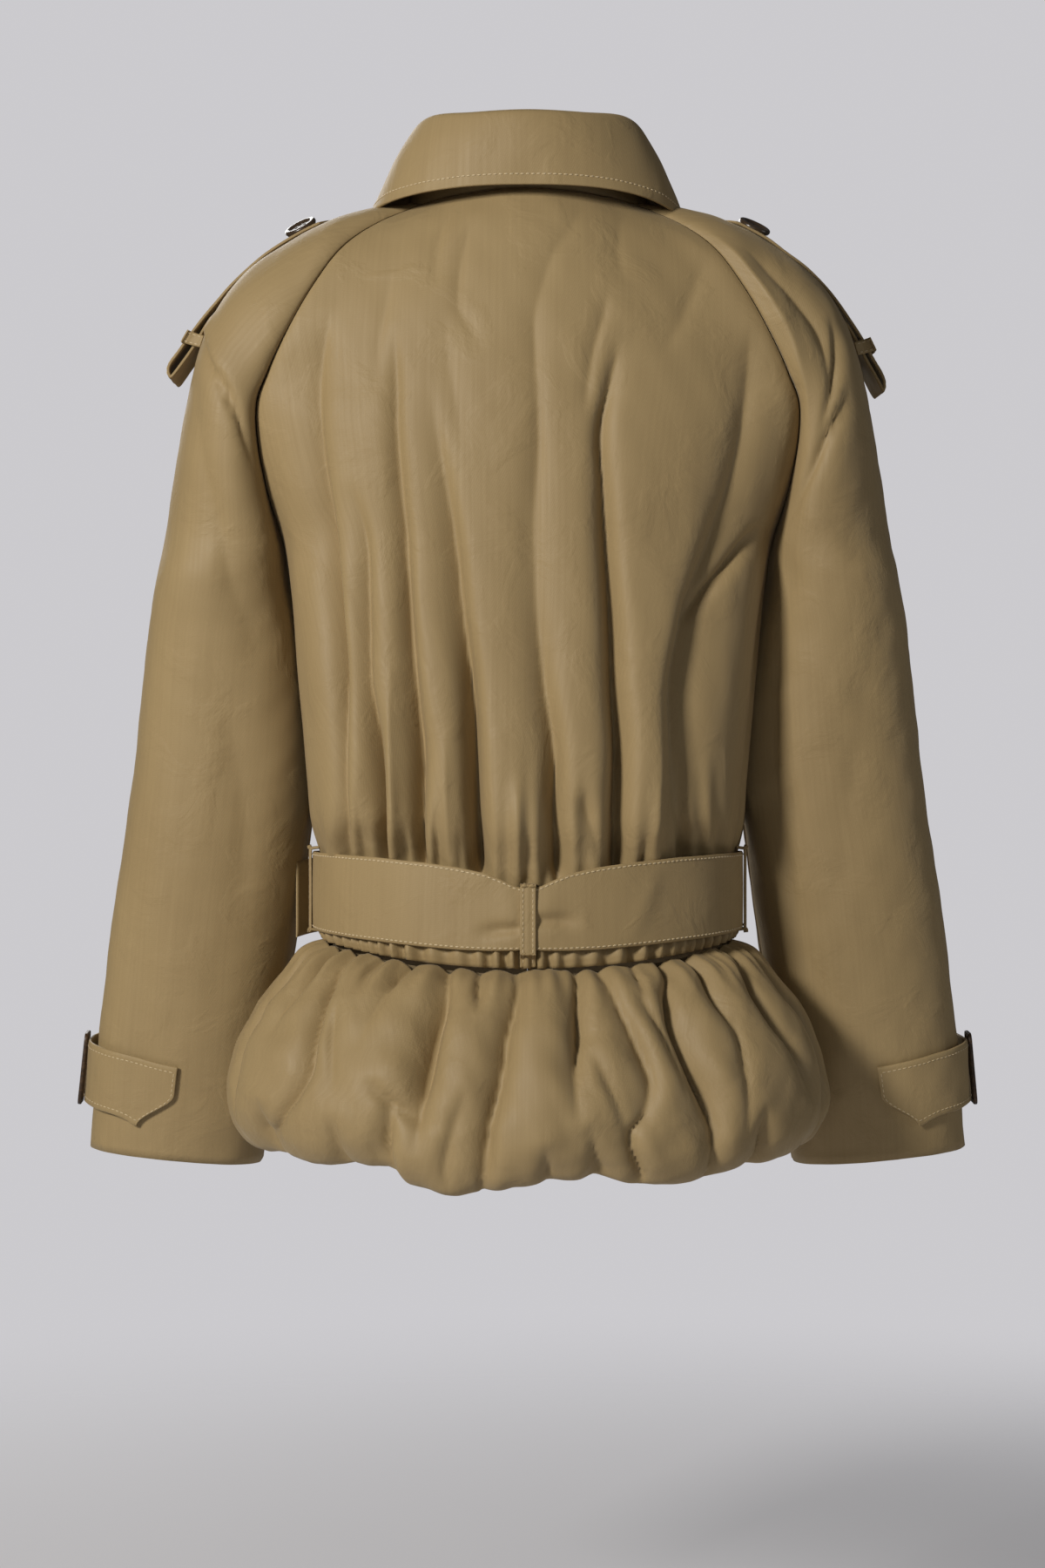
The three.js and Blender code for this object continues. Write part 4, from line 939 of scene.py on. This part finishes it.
def ring(angle, half, side, back, front, z, rise):
    """Points of a level ring by the angle in degrees from the centre back towards the wearer's
    left: x is half its width by the sine, and y runs from its side to its back or front by the
    cosine.
    """
    turn = np.radians(angle)
    cosine, sine = np.cos(turn), np.sin(turn)
    depth = np.where(cosine > 0, back - side, side - front)
    return points(half * sine, side + cosine * depth, z + rise * SIDE_RISE * sine**2)


def all_round(columns):
    """The angles of a band all round the jacket, whose two ends meet at the front's middle."""
    return np.linspace(-179.75, 179.75, columns)[None]


def peplum_surface(low, high, rows=104, columns=260):
    """The bubble peplum between two angles, from the casing seam to the end of its turned-up hem."""
    upper = rows // 2
    lower = np.linspace(4, PEPLUM_END, rows - upper + 1)[1:]
    place = np.concatenate([np.linspace(0, 4, upper), lower])[:, None]
    angle = np.linspace(low, high, columns)[None]
    turn = np.radians(angle)
    level = levels(PEPLUM, place)
    tuck = level.pop("tuck")
    grid = ring(angle, **level)
    drop = smooth(place, 4.2, 6.8) * (1 - smooth(place, 8.8, 10))
    wave = np.sin(turn * 9 + 0.8) + 0.7 * np.sin(turn * 23 + 2.0 * np.sin(turn * 3))
    grid[..., 2] += drop * (np.interp(angle, HEM_LINE["angle"], HEM_LINE["rise"]) - 0.8 * wave)
    deep = troughs(PEPLUM_FOLDS, angle, -place, 1.0)
    # gathers that run out of the casing seam and soon die away
    small = np.sin(angle * 1.15 + 2.2 * np.sin(angle / 9.0)) + 0.7 * np.sin(angle * 0.61 + 1.0)
    deep = deep + small * smooth(place, -0.3, 0.5) * (1 - smooth(place, 0.8, 2.6))
    broad = np.sin(angle * 0.37 + 1.6 * np.sin(angle / 13.0))
    deep = deep + 0.5 * broad * smooth(place, 0, 2) * (1 - smooth(place, 6, 9))
    deep = deep + 0.7 * tuck * (1 + np.sin(turn * 31 + 3 * np.sin(turn * 4)))
    puffs = puckers(grid, 21, 30.0, 2.2) + puckers(grid, 22, 11.0, 0.5)
    return moved(grid, puffs * smooth(place, 1, 3) * (1 - smooth(place, 8, 10)) - deep)


def casing_surface(rows=22, columns=520):
    """The elastic casing: seventy uneven gathers round a short band."""
    down = np.linspace(0, 1, rows)[:, None]
    angle = all_round(columns)
    back, front, z = mix(94, 100, down), mix(-92, -97, down), mix(-474.3, -519, down)
    grid = ring(angle, mix(136, 139, down), 0, back, front, z, down)
    turn = np.radians(angle)
    height = 0.7 + 0.3 * np.sin(turn * 11 + 1)
    wave = np.sin(turn * 70 + 3.4 * np.sin(turn * 7) + 1.2 * down) * height
    low = smooth(down, 0.45, 0.75)
    grid = moved(grid, 1.1 + (1.8 + 2.2 * low) * wave + 2.5 * low * (1 - smooth(down, 0.86, 1)))
    # the seam allowance stands up inside the body
    return np.concatenate([grid[[0]] * np.array([0.95, 0.94, 1]) + np.array([0, 0, 9.0]), grid])


def inner_surface(rows=18, columns=160):
    """The plain inner wall, from inside the casing down to the end of the turned-up hem."""
    return ring(all_round(columns), **levels(INNER, np.linspace(0, 2, rows)[:, None]))


# ---- Belt ------------------------------------------------------------------------------------

BELT_EDGES = table(
    "angle top foot",
    [0, -466.6, -506], [3, -465, -506.8], [6.5, -460.8, -507], [10.6, -456.5, -507],
    [18, -452.6, -506.5], [27, -449.6, -505], [43, -446.5, -502], [60, -445, -499.5], [90, -444, -496],
    [180, -446, -499],
)
TAIL = table(
    "angle out drop",
    [169.5, 0, 0], [160, 0, 0], [148, 0.4, 0], [136, 1, 1], [124, 2.5, 2], [113, 5, 4], [104, 8.5, 6],
    [97, 12, 8],
)
CARRIER = table(
    "share past out",
    [0, 3.4, 0], [0, 2.6, 1.4], [0, 1, 2.2], [0.5, 0, 2.2], [1, -1, 2.2], [1, -3.6, 1.4], [1, -6, -3.4],
    [1, -12, -5.5],
)
CARRIER_WIDTH = 10


def edged(start, end, inset, count):
    """Places from start to end whose first and last steps are only as long as the inset."""
    return np.concatenate([[start], np.linspace(start + inset, end - inset, count - 2), [end]])


def belt_point(angle, share, out):
    """Points over the belt: an angle, a share of the way down it and a distance out from it."""
    top, foot = (np.interp(np.abs(angle), BELT_EDGES["angle"], BELT_EDGES[k]) for k in ("top", "foot"))
    return ring(angle, 148 + out, 0, 107 + out, -104 - out, mix(top, foot, share), 0)


def belt_surface(rows=30, columns=380):
    """The belt: a flat band that is drawn together where the carrier holds it at the centre back."""
    share = edged(0, 1, 0.016, rows)[:, None]
    angle = all_round(columns)
    left = bell(share - 0.62 - 0.012 * angle, 0.09) * smooth(angle, 1, 3) * (1 - smooth(angle, 7, 15))
    right = bell(share - 0.5 + 0.011 * angle, 0.1) * smooth(-angle, 1, 3) * (1 - smooth(-angle, 8, 15))
    slow = np.sin(np.radians(angle) * 13 + 1.0) * smooth(np.abs(angle), 10, 30)
    swell = 1.3 * bell(np.abs(angle) - 4.5, 3.4) + 0.5 * slow + 1.2 * bell(angle + 36 - 9 * share, 3.2)
    grid = belt_point(angle, share, 0.0)
    return moved(grid, swell * np.sin(share * np.pi) - 3.4 * (left + right))


def tail_surface(rows=16, columns=60):
    """The belt's free end, which leaves the band and drops a little on its way to its tip."""
    line = levels(TAIL, np.linspace(7, 0, columns)[None])
    grid = belt_point(line["angle"], np.linspace(0, 1, rows)[:, None], line["out"] + 2.5)
    grid[..., 2] -= line["drop"]
    return grid


def carrier_surface(angle, root, below, rows=40, columns=9):
    """A belt carrier at an angle, from its root over the belt's top edge down past its foot.

    root is how far out it starts, and below scales how far it goes past the foot.
    """
    place = np.linspace(0, 7, rows)[:, None]
    out = CARRIER["out"].copy()
    out[0] = root
    past = CARRIER["past"] * np.where(CARRIER["share"] == 1, below, 1)
    side = np.linspace(-1, 1, columns)[None] * CARRIER_WIDTH / 2
    share = along(CARRIER["share"], place)
    here = belt_point(np.full_like(place, angle), share, along(out, place))
    before, after = (belt_point(np.array([[angle + turn]]), 0.5, 2) for turn in (-1.0, 1.0))
    grid = here + unit((after - before) * np.array([1, 1, 0])) * side[..., None]
    grid[..., 2] += along(past, place)
    # two faint ribs where the carrier's long edges are stitched
    return moved(grid, 0.25 * np.cos(side / CARRIER_WIDTH * 4 * np.pi))


# ---- Straps on the sleeves -------------------------------------------------------------------

STRAP_PATH = table(
    "share out tip",
    [0, 3.3, 1], [0.16, 3.3, 0.25], [0.34, 3.3, 0], [0.52, 3.6, 0], [0.68, 5, 0], [0.82, 8.5, 0],
    [0.93, 13, 0], [1, 16, 0], [1.03, 13, 0], [0.99, 9.5, 0], [0.88, 4.6, 0], [0.76, 1.2, 0],
)
STRAP_WIDTH = 40
STRAP_START = 1.55
STRAP_LOOP = table("past rise", [7, 0], [3, 0.45], [2.4, 0.85], [0.4, 1])
CUFF_PATH = table(
    "column row out cut",
    [5.5, 16.98, 3.5, 1.4], [6, 16.96, 3.5, 1.1], [7, 16.9, 4.1, 0.4], [8, 16.84, 4.6, 0],
    [9, 16.8, 5, 0], [10, 16.76, 6.4, 0], [11, 16.74, 7, 0], [12, 16.72, 6.4, 0], [13, 16.72, 5, 0],
    [14, 16.72, 3.8, 0], [15, 16.72, 3.2, 0], [16, 16.72, 3.1, 0], [17, 16.72, 3.1, 0],
    [18, 16.72, 3.1, 0],
)
CUFF_COLUMNS = 22
STRAP_REACH = {"left": 6.05, "right": 6.2}
STRAP_FLARE = {"left": 1.4, "right": 1.0}
UNDERARM_ROW = 61


class Sleeve:
    """A sleeve's surface, made as the left one, with places on it by table row and share round."""

    def __init__(self, side):
        self.grid = sleeve_surface(side)
        self.normals = facing(self.grid)
        self.flip = np.array([1 if side == "left" else -1, 1, 1])
        # below the underarm the two edges meet in a seam, and share one direction there
        seam = self.normals[UNDERARM_ROW:, [0, -1]]
        self.normals[UNDERARM_ROW:, [0, -1]] = unit(seam.sum(axis=1, keepdims=True))

    def turned(self, grid):
        """A field of the left side as this sleeve's: mirrored, with its columns in reverse."""
        return grid[:, :: self.flip[0]] * self.flip

    def at(self, row, share):
        """The points and outward directions at rows and shares."""
        row, share = np.broadcast_arrays(np.asarray(row, float), np.asarray(share, float))
        rows, columns = self.grid.shape[:2]
        place = np.clip(row / SLEEVE_END, 0, 1) * (rows - 1), np.clip(share, 0, 1) * (columns - 1)
        return grid_at(self.grid, *place), unit(grid_at(self.normals, *place))

    def point(self, row, share, across, out):
        """A point by its row, share round, distance across and distance out."""
        before, after = (self.at(row, share + step)[0] for step in (-0.02, 0.02))
        girth = np.linalg.norm(after - before, axis=-1) / 0.04
        place, outward = self.at(row, share + across / girth)
        return place + outward * np.asarray(out)[..., None]

    def spot(self, row, share, out):
        """One place on this side's sleeve, a distance out from it, with its outward direction."""
        place, outward = self.at([row], share)
        return (place + outward * out)[0] * self.flip, outward[0] * self.flip


def strap_surface(sleeve, reach, flare, rows=90, columns=25):
    """A shoulder strap: its path down the sleeve, folded back under itself at the outer end."""
    line = levels(STRAP_PATH, np.linspace(0, 11, rows)[:, None])
    side = edged(-1, 1, 0.04, columns)[None]
    row = mix(STRAP_START, reach, line["share"]) + np.clip(line["tip"], 0, 1) * 0.42 * np.abs(side)
    out = np.where(line["out"] > 5, 5 + (line["out"] - 5) * flare, line["out"])
    return sleeve.point(row, 0.5, side * STRAP_WIDTH / 2, out)


def strap_loop_surface(sleeve, reach, rows=8, columns=60):
    """The carrier over a shoulder strap, from the sleeve on one side over to the other."""
    past, rise = (np.concatenate([STRAP_LOOP[k], STRAP_LOOP[k][::-1]]) for k in ("past", "rise"))
    sign = np.repeat([-1, 1], len(STRAP_LOOP["past"]))
    place = np.linspace(0, 7, columns)
    across = along(sign * (STRAP_WIDTH / 2 + past), place)[None]
    path = levels(STRAP_PATH, 5.3 + np.linspace(0, 1, rows)[:, None] * 0.45)
    out = mix(2.0, path["out"] + 3.7, np.clip(along(rise, place)[None], 0, 1))
    return sleeve.point(mix(STRAP_START, reach, path["share"]), 0.5, across, out)


def cuff_strap_surface(sleeve, rows=24, columns=150):
    """A cuff strap from its angled tip round the outside of the cuff."""
    down = edged(-1, 1, 0.03, rows)[:, None]
    line = levels(CUFF_PATH, np.concatenate([[0], np.linspace(0.02, 13, columns - 1)])[None])
    drawn = line["cut"] * smooth(down, -0.1, 1.0)
    share = (line["column"] + drawn) / CUFF_COLUMNS
    return sleeve.point(line["row"] + down * 0.5, share, 0, line["out"] + drawn * 0.6)


# ---- Buttons and buckles ---------------------------------------------------------------------

BUTTON = table(
    "radius height",
    [0, 2.4], [3, 2.35], [6, 2.4], [7.3, 2.5], [8.3, 3.3], [9.2, 3.7], [10.6, 3.6], [11.4, 2.7],
    [11.5, 1.4], [10.8, 0.3], [9.8, 0], [0, 0],
)
HOLE_PLACE = 2.1
HOLE_DEPTH = 1.4
BAR_TURN = math.atan(0.3)


def seat(shape, place, outward):
    """Turns a shape to face along a direction with its own top upwards, and puts it at a place."""
    vertices, faces = shape
    across = unit(np.cross(np.array([0.0, 0.0, 1.0]), outward))
    return place + vertices @ np.stack([across, np.cross(outward, across), outward]), faces


def button_shape(turns=48, rings=30):
    """A horn button of 23 mm: a rim round a shallow dish with four holes.

    The front is a grid of radius by turn: its height is the profile's at that radius, less a pit
    1.4 mm deep at each hole, whose wall is 0.5 mm wide.
    """
    place = np.concatenate([np.linspace(0.02, 4, rings), np.linspace(4, 11, 24)[1:]])[:, None]
    turn = np.linspace(0, 2 * np.pi, turns, endpoint=False)[None]
    level = levels(BUTTON, place)
    radius = np.maximum(level["radius"], 0.02)
    x, y = radius * np.cos(turn), radius * np.sin(turn)
    pit = 1 - smooth(np.hypot(np.abs(x) - HOLE_PLACE, np.abs(y) - HOLE_PLACE), 0.75, 1.25)
    front = 1 - smooth(place, 3.5, 4.5)
    grid = points(x, y, level["height"] - HOLE_DEPTH * front * pit)
    return grid.reshape(-1, 3), skin_faces(len(grid), turns, closed=True)


def frame_shape(width, height, bar, thickness, corner=5.0, steps=12):
    """A buckle's frame: a rounded bar carried round a rectangle with round corners.

    The path is four quarter circles joined by straights, and the section is a square of the bar
    and the thickness with its corners rounded, as a superellipse of power 4.
    """
    half = np.array([width, height]) / 2 - bar / 2 - corner
    signs = np.repeat([[1, 1], [-1, 1], [-1, -1], [1, -1]], steps, axis=0)
    angle = np.add.outer(np.arange(4), np.linspace(0, 1, steps)).ravel() * np.pi / 2
    out = np.stack([np.cos(angle), np.sin(angle)], axis=-1)
    around = np.linspace(0, 2 * np.pi, 16, endpoint=False)
    section = np.array([np.cos(around), np.sin(around)])
    side, rise = np.sign(section) * np.sqrt(np.abs(section)) / 2
    flat = (signs * half + corner * out)[:, None] + out[:, None] * (side * bar)[:, None]
    grid = points(flat[..., 0], flat[..., 1], (rise + 0.5) * thickness)
    return grid.reshape(-1, 3), skin_faces(len(angle), len(around), closed=True, looped=True)


def bar_shape(half, height, radius, sides=12):
    """An upright round bar with closed ends, half its length each way: rings along its run."""
    share = np.array([-1, -1, -0.94, 0.94, 1, 1])[:, None] * half
    size = np.array([0.02, 0.8, 1, 1, 0.8, 0.02])[:, None] * radius
    turn = np.linspace(0, 2 * np.pi, sides, endpoint=False) + BAR_TURN
    grid = points(size * np.cos(turn), share, height - size * np.sin(turn))
    return grid.reshape(-1, 3), skin_faces(6, sides, closed=True)


def hard_piece(name, solid, finish, slot, place, outward, *shapes):
    """Makes a button or buckle from its shapes, seated at a place."""
    vertices, faces = joined([seat(shape, place, outward) for shape in shapes])
    fit(settled(add_mesh(name, vertices, faces), weld=0.00003), solid, finish)


# ---- Operators -------------------------------------------------------------------------------


class JACKET_OT_body(Operator):
    """Makes the back and the two fronts"""

    bl_idname = "jacket.body"
    bl_label = "Body"

    def execute(self, context):
        back, normals = with_allowance(back_surface(), ("first", "last"))
        sew("jacket_back", "back", back, (0.48, 0.53), area=0.212, normals=normals)
        for side, outer in zip(SIDES, ("first", "last")):
            front = front_surface(side)
            yoke = 1 - smooth(np.linspace(0, BODY_END, len(front)), 7.4, YOKE_END)
            front, normals = with_allowance(front, (outer,), yoke)
            sew("jacket_front_" + side, "front_" + side, front, (0.25, 0.5), area=0.097,
                normals=normals)
        return {"FINISHED"}


class JACKET_OT_sleeves(Operator):
    """Makes the two raglan sleeves"""

    bl_idname = "jacket.sleeves"
    bl_label = "Sleeves"

    def execute(self, context):
        for side in SIDES:
            sleeve = Sleeve(side)
            grid, normals = sleeve.turned(sleeve.grid), sleeve.turned(sleeve.normals)
            sew("sleeve_cloth_" + side, "sleeve_" + side, grid, (0.43, 0.72), area=0.244,
                normals=normals)
        return {"FINISHED"}


class JACKET_OT_collar(Operator):
    """Makes the collar's stand and fall with their topstitching"""

    bl_idname = "jacket.collar"
    bl_label = "Collar"

    def execute(self, context):
        fall = fall_surface()
        sew("collar_cloth", "collar_fall", fall, (0.5, 0.075), "folded", 0.035, 2.0, soft_edge=0.3)
        sew("collar_stand_cloth", "collar_stand", stand_surface(), (0.44, 0.05), "folded", 0.021, 1.8)
        rows, columns = fall.shape[:2]
        inset = [np.interp(down[-1] - 7.0, down, np.arange(rows)) for down in lengths(fall, 0).T]
        run = np.linspace(3, columns - 4, 300)
        stitches("collar_stitches", [line_on(fall, np.interp(run, np.arange(columns), inset), run)])
        return {"FINISHED"}


class JACKET_OT_waist(Operator):
    """Makes the elastic casing, the bubble peplum and its inner wall"""

    bl_idname = "jacket.waist"
    bl_label = "Waist and peplum"

    def execute(self, context):
        side_seam = 90 - 0.08
        casing, back = casing_surface(), peplum_surface(-side_seam, side_seam)
        sew("waist_casing_cloth", "waist_casing", casing, (0.92, 0.05), area=0.044, thickness=1.2)
        sew("peplum_back_cloth", "peplum_back", back, (0.6, 0.195), area=0.11)
        for side, low, high in (("left", 90.08, 179.94), ("right", -179.94, -90.08)):
            front = peplum_surface(low, high, 90, 120)
            sew("peplum_front_cloth_" + side, "peplum_front_" + side, front, (0.28, 0.185), area=0.047)
        colour = settings().inner_colour
        deep = [0.8 * c for c in colour]
        plain = cloth_material("plain_inner_cotton", colour, deep, roughness=0.65, sheen=0.1)
        sew("peplum_inner_cloth", "peplum_inner", inner_surface(), (0.94, 0.12), area=0.103,
            thickness=1.2, finish=plain, slot="inner_cloth")
        return {"FINISHED"}


class JACKET_OT_belt(Operator):
    """Makes the belt, its free end, its buckle and its three carriers"""

    bl_idname = "jacket.belt"
    bl_label = "Belt"

    def execute(self, context):
        belt, tail = belt_surface(), tail_surface()
        band = {"thickness": 2.0, "soft_edge": 0.3}
        sew("belt_cloth", "belt", belt, (0.82, 0.053), "stretched", **band)
        sew("belt_tail_cloth", "belt_tail", tail, (0.17, 0.053), "hung", **band)
        stitches("belt_stitches", [
            line_on(grid, share * (len(grid) - 1), np.linspace(1, grid.shape[1] - 2, count))
            for grid, count in ((belt, 900), (tail, 80))
            for share in (0.055, 0.945)
        ])
        paths = []
        carriers = (("back", 0, -5.5, 1), ("left", 86, -4, 0.35), ("right", -86, -4, 0.35))
        for name, angle, root, below in carriers:
            grid = carrier_surface(angle, root, below)
            sew("belt_carrier_" + name, "belt_loop_" + name, grid, (0.01, 0.09), "stretched",
                thickness=1.5)
            down = np.linspace(2, len(grid) - 3, 60)
            paths += [line_on(grid, down, column) for column in (1.4, grid.shape[1] - 2.4)]
        stitches("carrier_stitches", paths, 0.26)
        place, outward = belt_point(np.array([180.0]), 0.5, 0.5)[0], np.array([0.0, -1.0, 0.0])
        hard_piece("belt_buckle_frame", "belt_buckle", dark_horn(), "buckle", place, outward,
                   frame_shape(54, 66, 5, 4), bar_shape(30, 2, 1.5))
        return {"FINISHED"}


class JACKET_OT_straps(Operator):
    """Makes the shoulder straps, their carriers, and the cuff straps with their buckles"""

    bl_idname = "jacket.straps"
    bl_label = "Straps"

    def execute(self, context):
        band = {"thickness": 2.0, "soft_edge": 0.3}
        for side in SIDES:
            sleeve, reach = Sleeve(side), STRAP_REACH[side]
            strap = sleeve.turned(strap_surface(sleeve, reach, STRAP_FLARE[side]))
            loop = sleeve.turned(strap_loop_surface(sleeve, reach))
            cuff = sleeve.turned(cuff_strap_surface(sleeve))
            sew("shoulder_strap_" + side, "epaulette_" + side, strap, (0.04, 0.22), "folded", **band)
            sew("shoulder_strap_carrier_" + side, "epaulette_loop_" + side, loop, (0.013, 0.07),
                "stretched", thickness=1.5)
            sew("cuff_strap_cloth_" + side, "cuff_strap_" + side, cuff, (0.25, 0.042), "stretched",
                **band)
            down = np.linspace(3, len(strap) * 0.68, 160)
            paths = [line_on(strap, down, c) for c in (2.6, strap.shape[1] - 3.6)]
            rows, columns = cuff.shape[:2]
            run = np.linspace(4, columns - 5, 220)
            paths += [line_on(cuff, r, run) for r in (2.6, rows - 3.6)]
            tip = 3.5 if side == "left" else columns - 4.5
            paths.append(line_on(cuff, np.linspace(2.6, rows - 3.6, 30), tip))
            run = np.linspace(2, loop.shape[1] - 3, 60)
            paths += [line_on(loop, r, run) for r in (1.2, len(loop) - 2.2)]
            stitches("strap_stitches_" + side, paths, 0.28)
            place, outward = sleeve.spot(16.73, 0.49, 7.6)
            hard_piece("cuff_buckle_frame_" + side, "cuff_buckle_" + side, dark_horn(), "buckle",
                       place, outward, frame_shape(30, 51, 3, 2.6, 4.0), bar_shape(23, 1.3, 1.1))
        return {"FINISHED"}


class JACKET_OT_buttons(Operator):
    """Makes the horn buttons of the front and the shoulder straps"""

    bl_idname = "jacket.buttons"
    bl_label = "Buttons"

    def execute(self, context):
        horn = horn_material("horn", (0.03, 0.017, 0.01), (0.16, 0.095, 0.05), 0.44)
        shape = button_shape()
        front = front_surface("right")
        rows, columns = front.shape[:2]
        for k, level in enumerate((2.6, 5.6, 8.5, 11.2, 13.4), 1):
            place, outward = line_on(front, [level / BODY_END * (rows - 1)], 0.08 * (columns - 1))
            hard_piece(f"front_horn_button_{k}", f"front_button_{k}", horn, "horn",
                       place[0] + outward[0] * 0.5, outward[0], shape)
        for side in SIDES:
            place, outward = Sleeve(side).spot(2.35, 0.48, 6.4)
            # the button leans towards the back, as its thread lets it
            lean = unit(outward + np.array([0, 0.45, 0]))
            hard_piece("strap_horn_button_" + side, "epaulette_button_" + side, horn, "horn",
                       place, lean, shape)
        return {"FINISHED"}


def area_light(name, place, aim, size, power, colour):
    """A rectangular lamp at a place, turned to a height on the jacket's middle line."""
    data = bpy.data.lights.new(name, "AREA")
    data.shape = "RECTANGLE"
    data.size, data.size_y = size
    data.energy = power
    data.color = colour
    lamp = linked(name, data)
    lamp.location = place
    lamp.rotation_mode = "QUATERNION"
    lamp.rotation_quaternion = (Vector((0, 0, aim)) - Vector(place)).to_track_quat("-Z", "Y")


class JACKET_OT_stage(Operator):
    """Makes the pale floor, the studio light and the camera"""

    bl_idname = "jacket.stage"
    bl_label = "Stage"

    def execute(self, context):
        scene = context.scene
        turns = 64
        radius = np.array([0.001, 600, 1200, 1800, 2400])[:, None]
        angle = np.linspace(0, 2 * np.pi, turns, endpoint=False)[None]
        grid = points(radius * np.cos(angle), radius * np.sin(angle), -1120.0)
        floor = add_mesh("studio_floor", grid.reshape(-1, 3), skin_faces(5, turns, closed=True))
        floor.data.materials.append(floor_material("pale_floor"))

        area_light("key_softbox", (1.6, 2.1, 0.6), -0.35, (0.5, 0.6), 73, (1.0, 0.98, 0.95))
        area_light("camera_softbox", (0.2, 3.2, -0.2), -0.4, (1.2, 1.2), 5, (1.0, 0.99, 0.98))
        area_light("fill_softbox", (-2.4, 0.6, -0.1), -0.45, (1.0, 1.6), 6, (0.97, 0.98, 1.0))
        area_light("front_softbox", (0.9, -2.4, 0.9), -0.35, (1.2, 1.4), 32, (1.0, 0.99, 0.97))

        world = bpy.data.worlds.new("studio")
        world.use_nodes = True
        world.node_tree.nodes.clear()
        w = Nodes(world.node_tree)
        room = w.add("Background", {"Color": (0.8, 0.8, 0.82, 1), "Strength": 0.08})
        seen = w.add("Background", {"Color": (0.6, 0.592, 0.615, 1), "Strength": 1.0})
        both = w.add("MixShader", {0: w.add("LightPath", out="Is Camera Ray"), 1: room, 2: seen})
        w.add("OutputWorld", {0: both})
        scene.world = world
        scene.view_settings.view_transform = "Standard"

        data = bpy.data.cameras.new("studio_camera")
        data.sensor_width = 36
        data.lens = 66.67
        data.dof.use_dof = False
        camera = linked("studio_camera", data)
        camera.location = (0.0036, 2.0, -0.398)
        camera.rotation_euler = (math.pi / 2, 0, math.pi)
        scene.camera = camera
        return {"FINISHED"}


class JACKET_PT_panel(Panel):
    """The jacket's colours, sizes and making steps"""

    bl_label = "Peplum Jacket"
    bl_idname = "JACKET_PT_panel"
    bl_space_type = "VIEW_3D"
    bl_region_type = "UI"
    bl_category = "Jacket"

    def draw(self, context):
        for name in JacketSettings.__annotations__:
            self.layout.prop(context.scene.jacket, name)
        for operator in OPERATORS:
            self.layout.operator(operator.bl_idname)


OPERATORS = (
    JACKET_OT_stage,
    JACKET_OT_body,
    JACKET_OT_sleeves,
    JACKET_OT_collar,
    JACKET_OT_waist,
    JACKET_OT_belt,
    JACKET_OT_straps,
    JACKET_OT_buttons,
)
CLASSES = (JacketSettings, *OPERATORS, JACKET_PT_panel)


def register():
    for cls in CLASSES:
        bpy.utils.register_class(cls)
    bpy.types.Scene.jacket = PointerProperty(type=JacketSettings)


def unregister():
    del bpy.types.Scene.jacket
    for cls in reversed(CLASSES):
        bpy.utils.unregister_class(cls)


def main():
    """Makes the whole scene."""
    register()
    bpy.ops.jacket.stage()
    bpy.ops.jacket.body()
    bpy.ops.jacket.sleeves()
    bpy.ops.jacket.collar()
    bpy.ops.jacket.waist()
    bpy.ops.jacket.belt()
    bpy.ops.jacket.straps()
    bpy.ops.jacket.buttons()


if __name__ == "__main__":
    main()
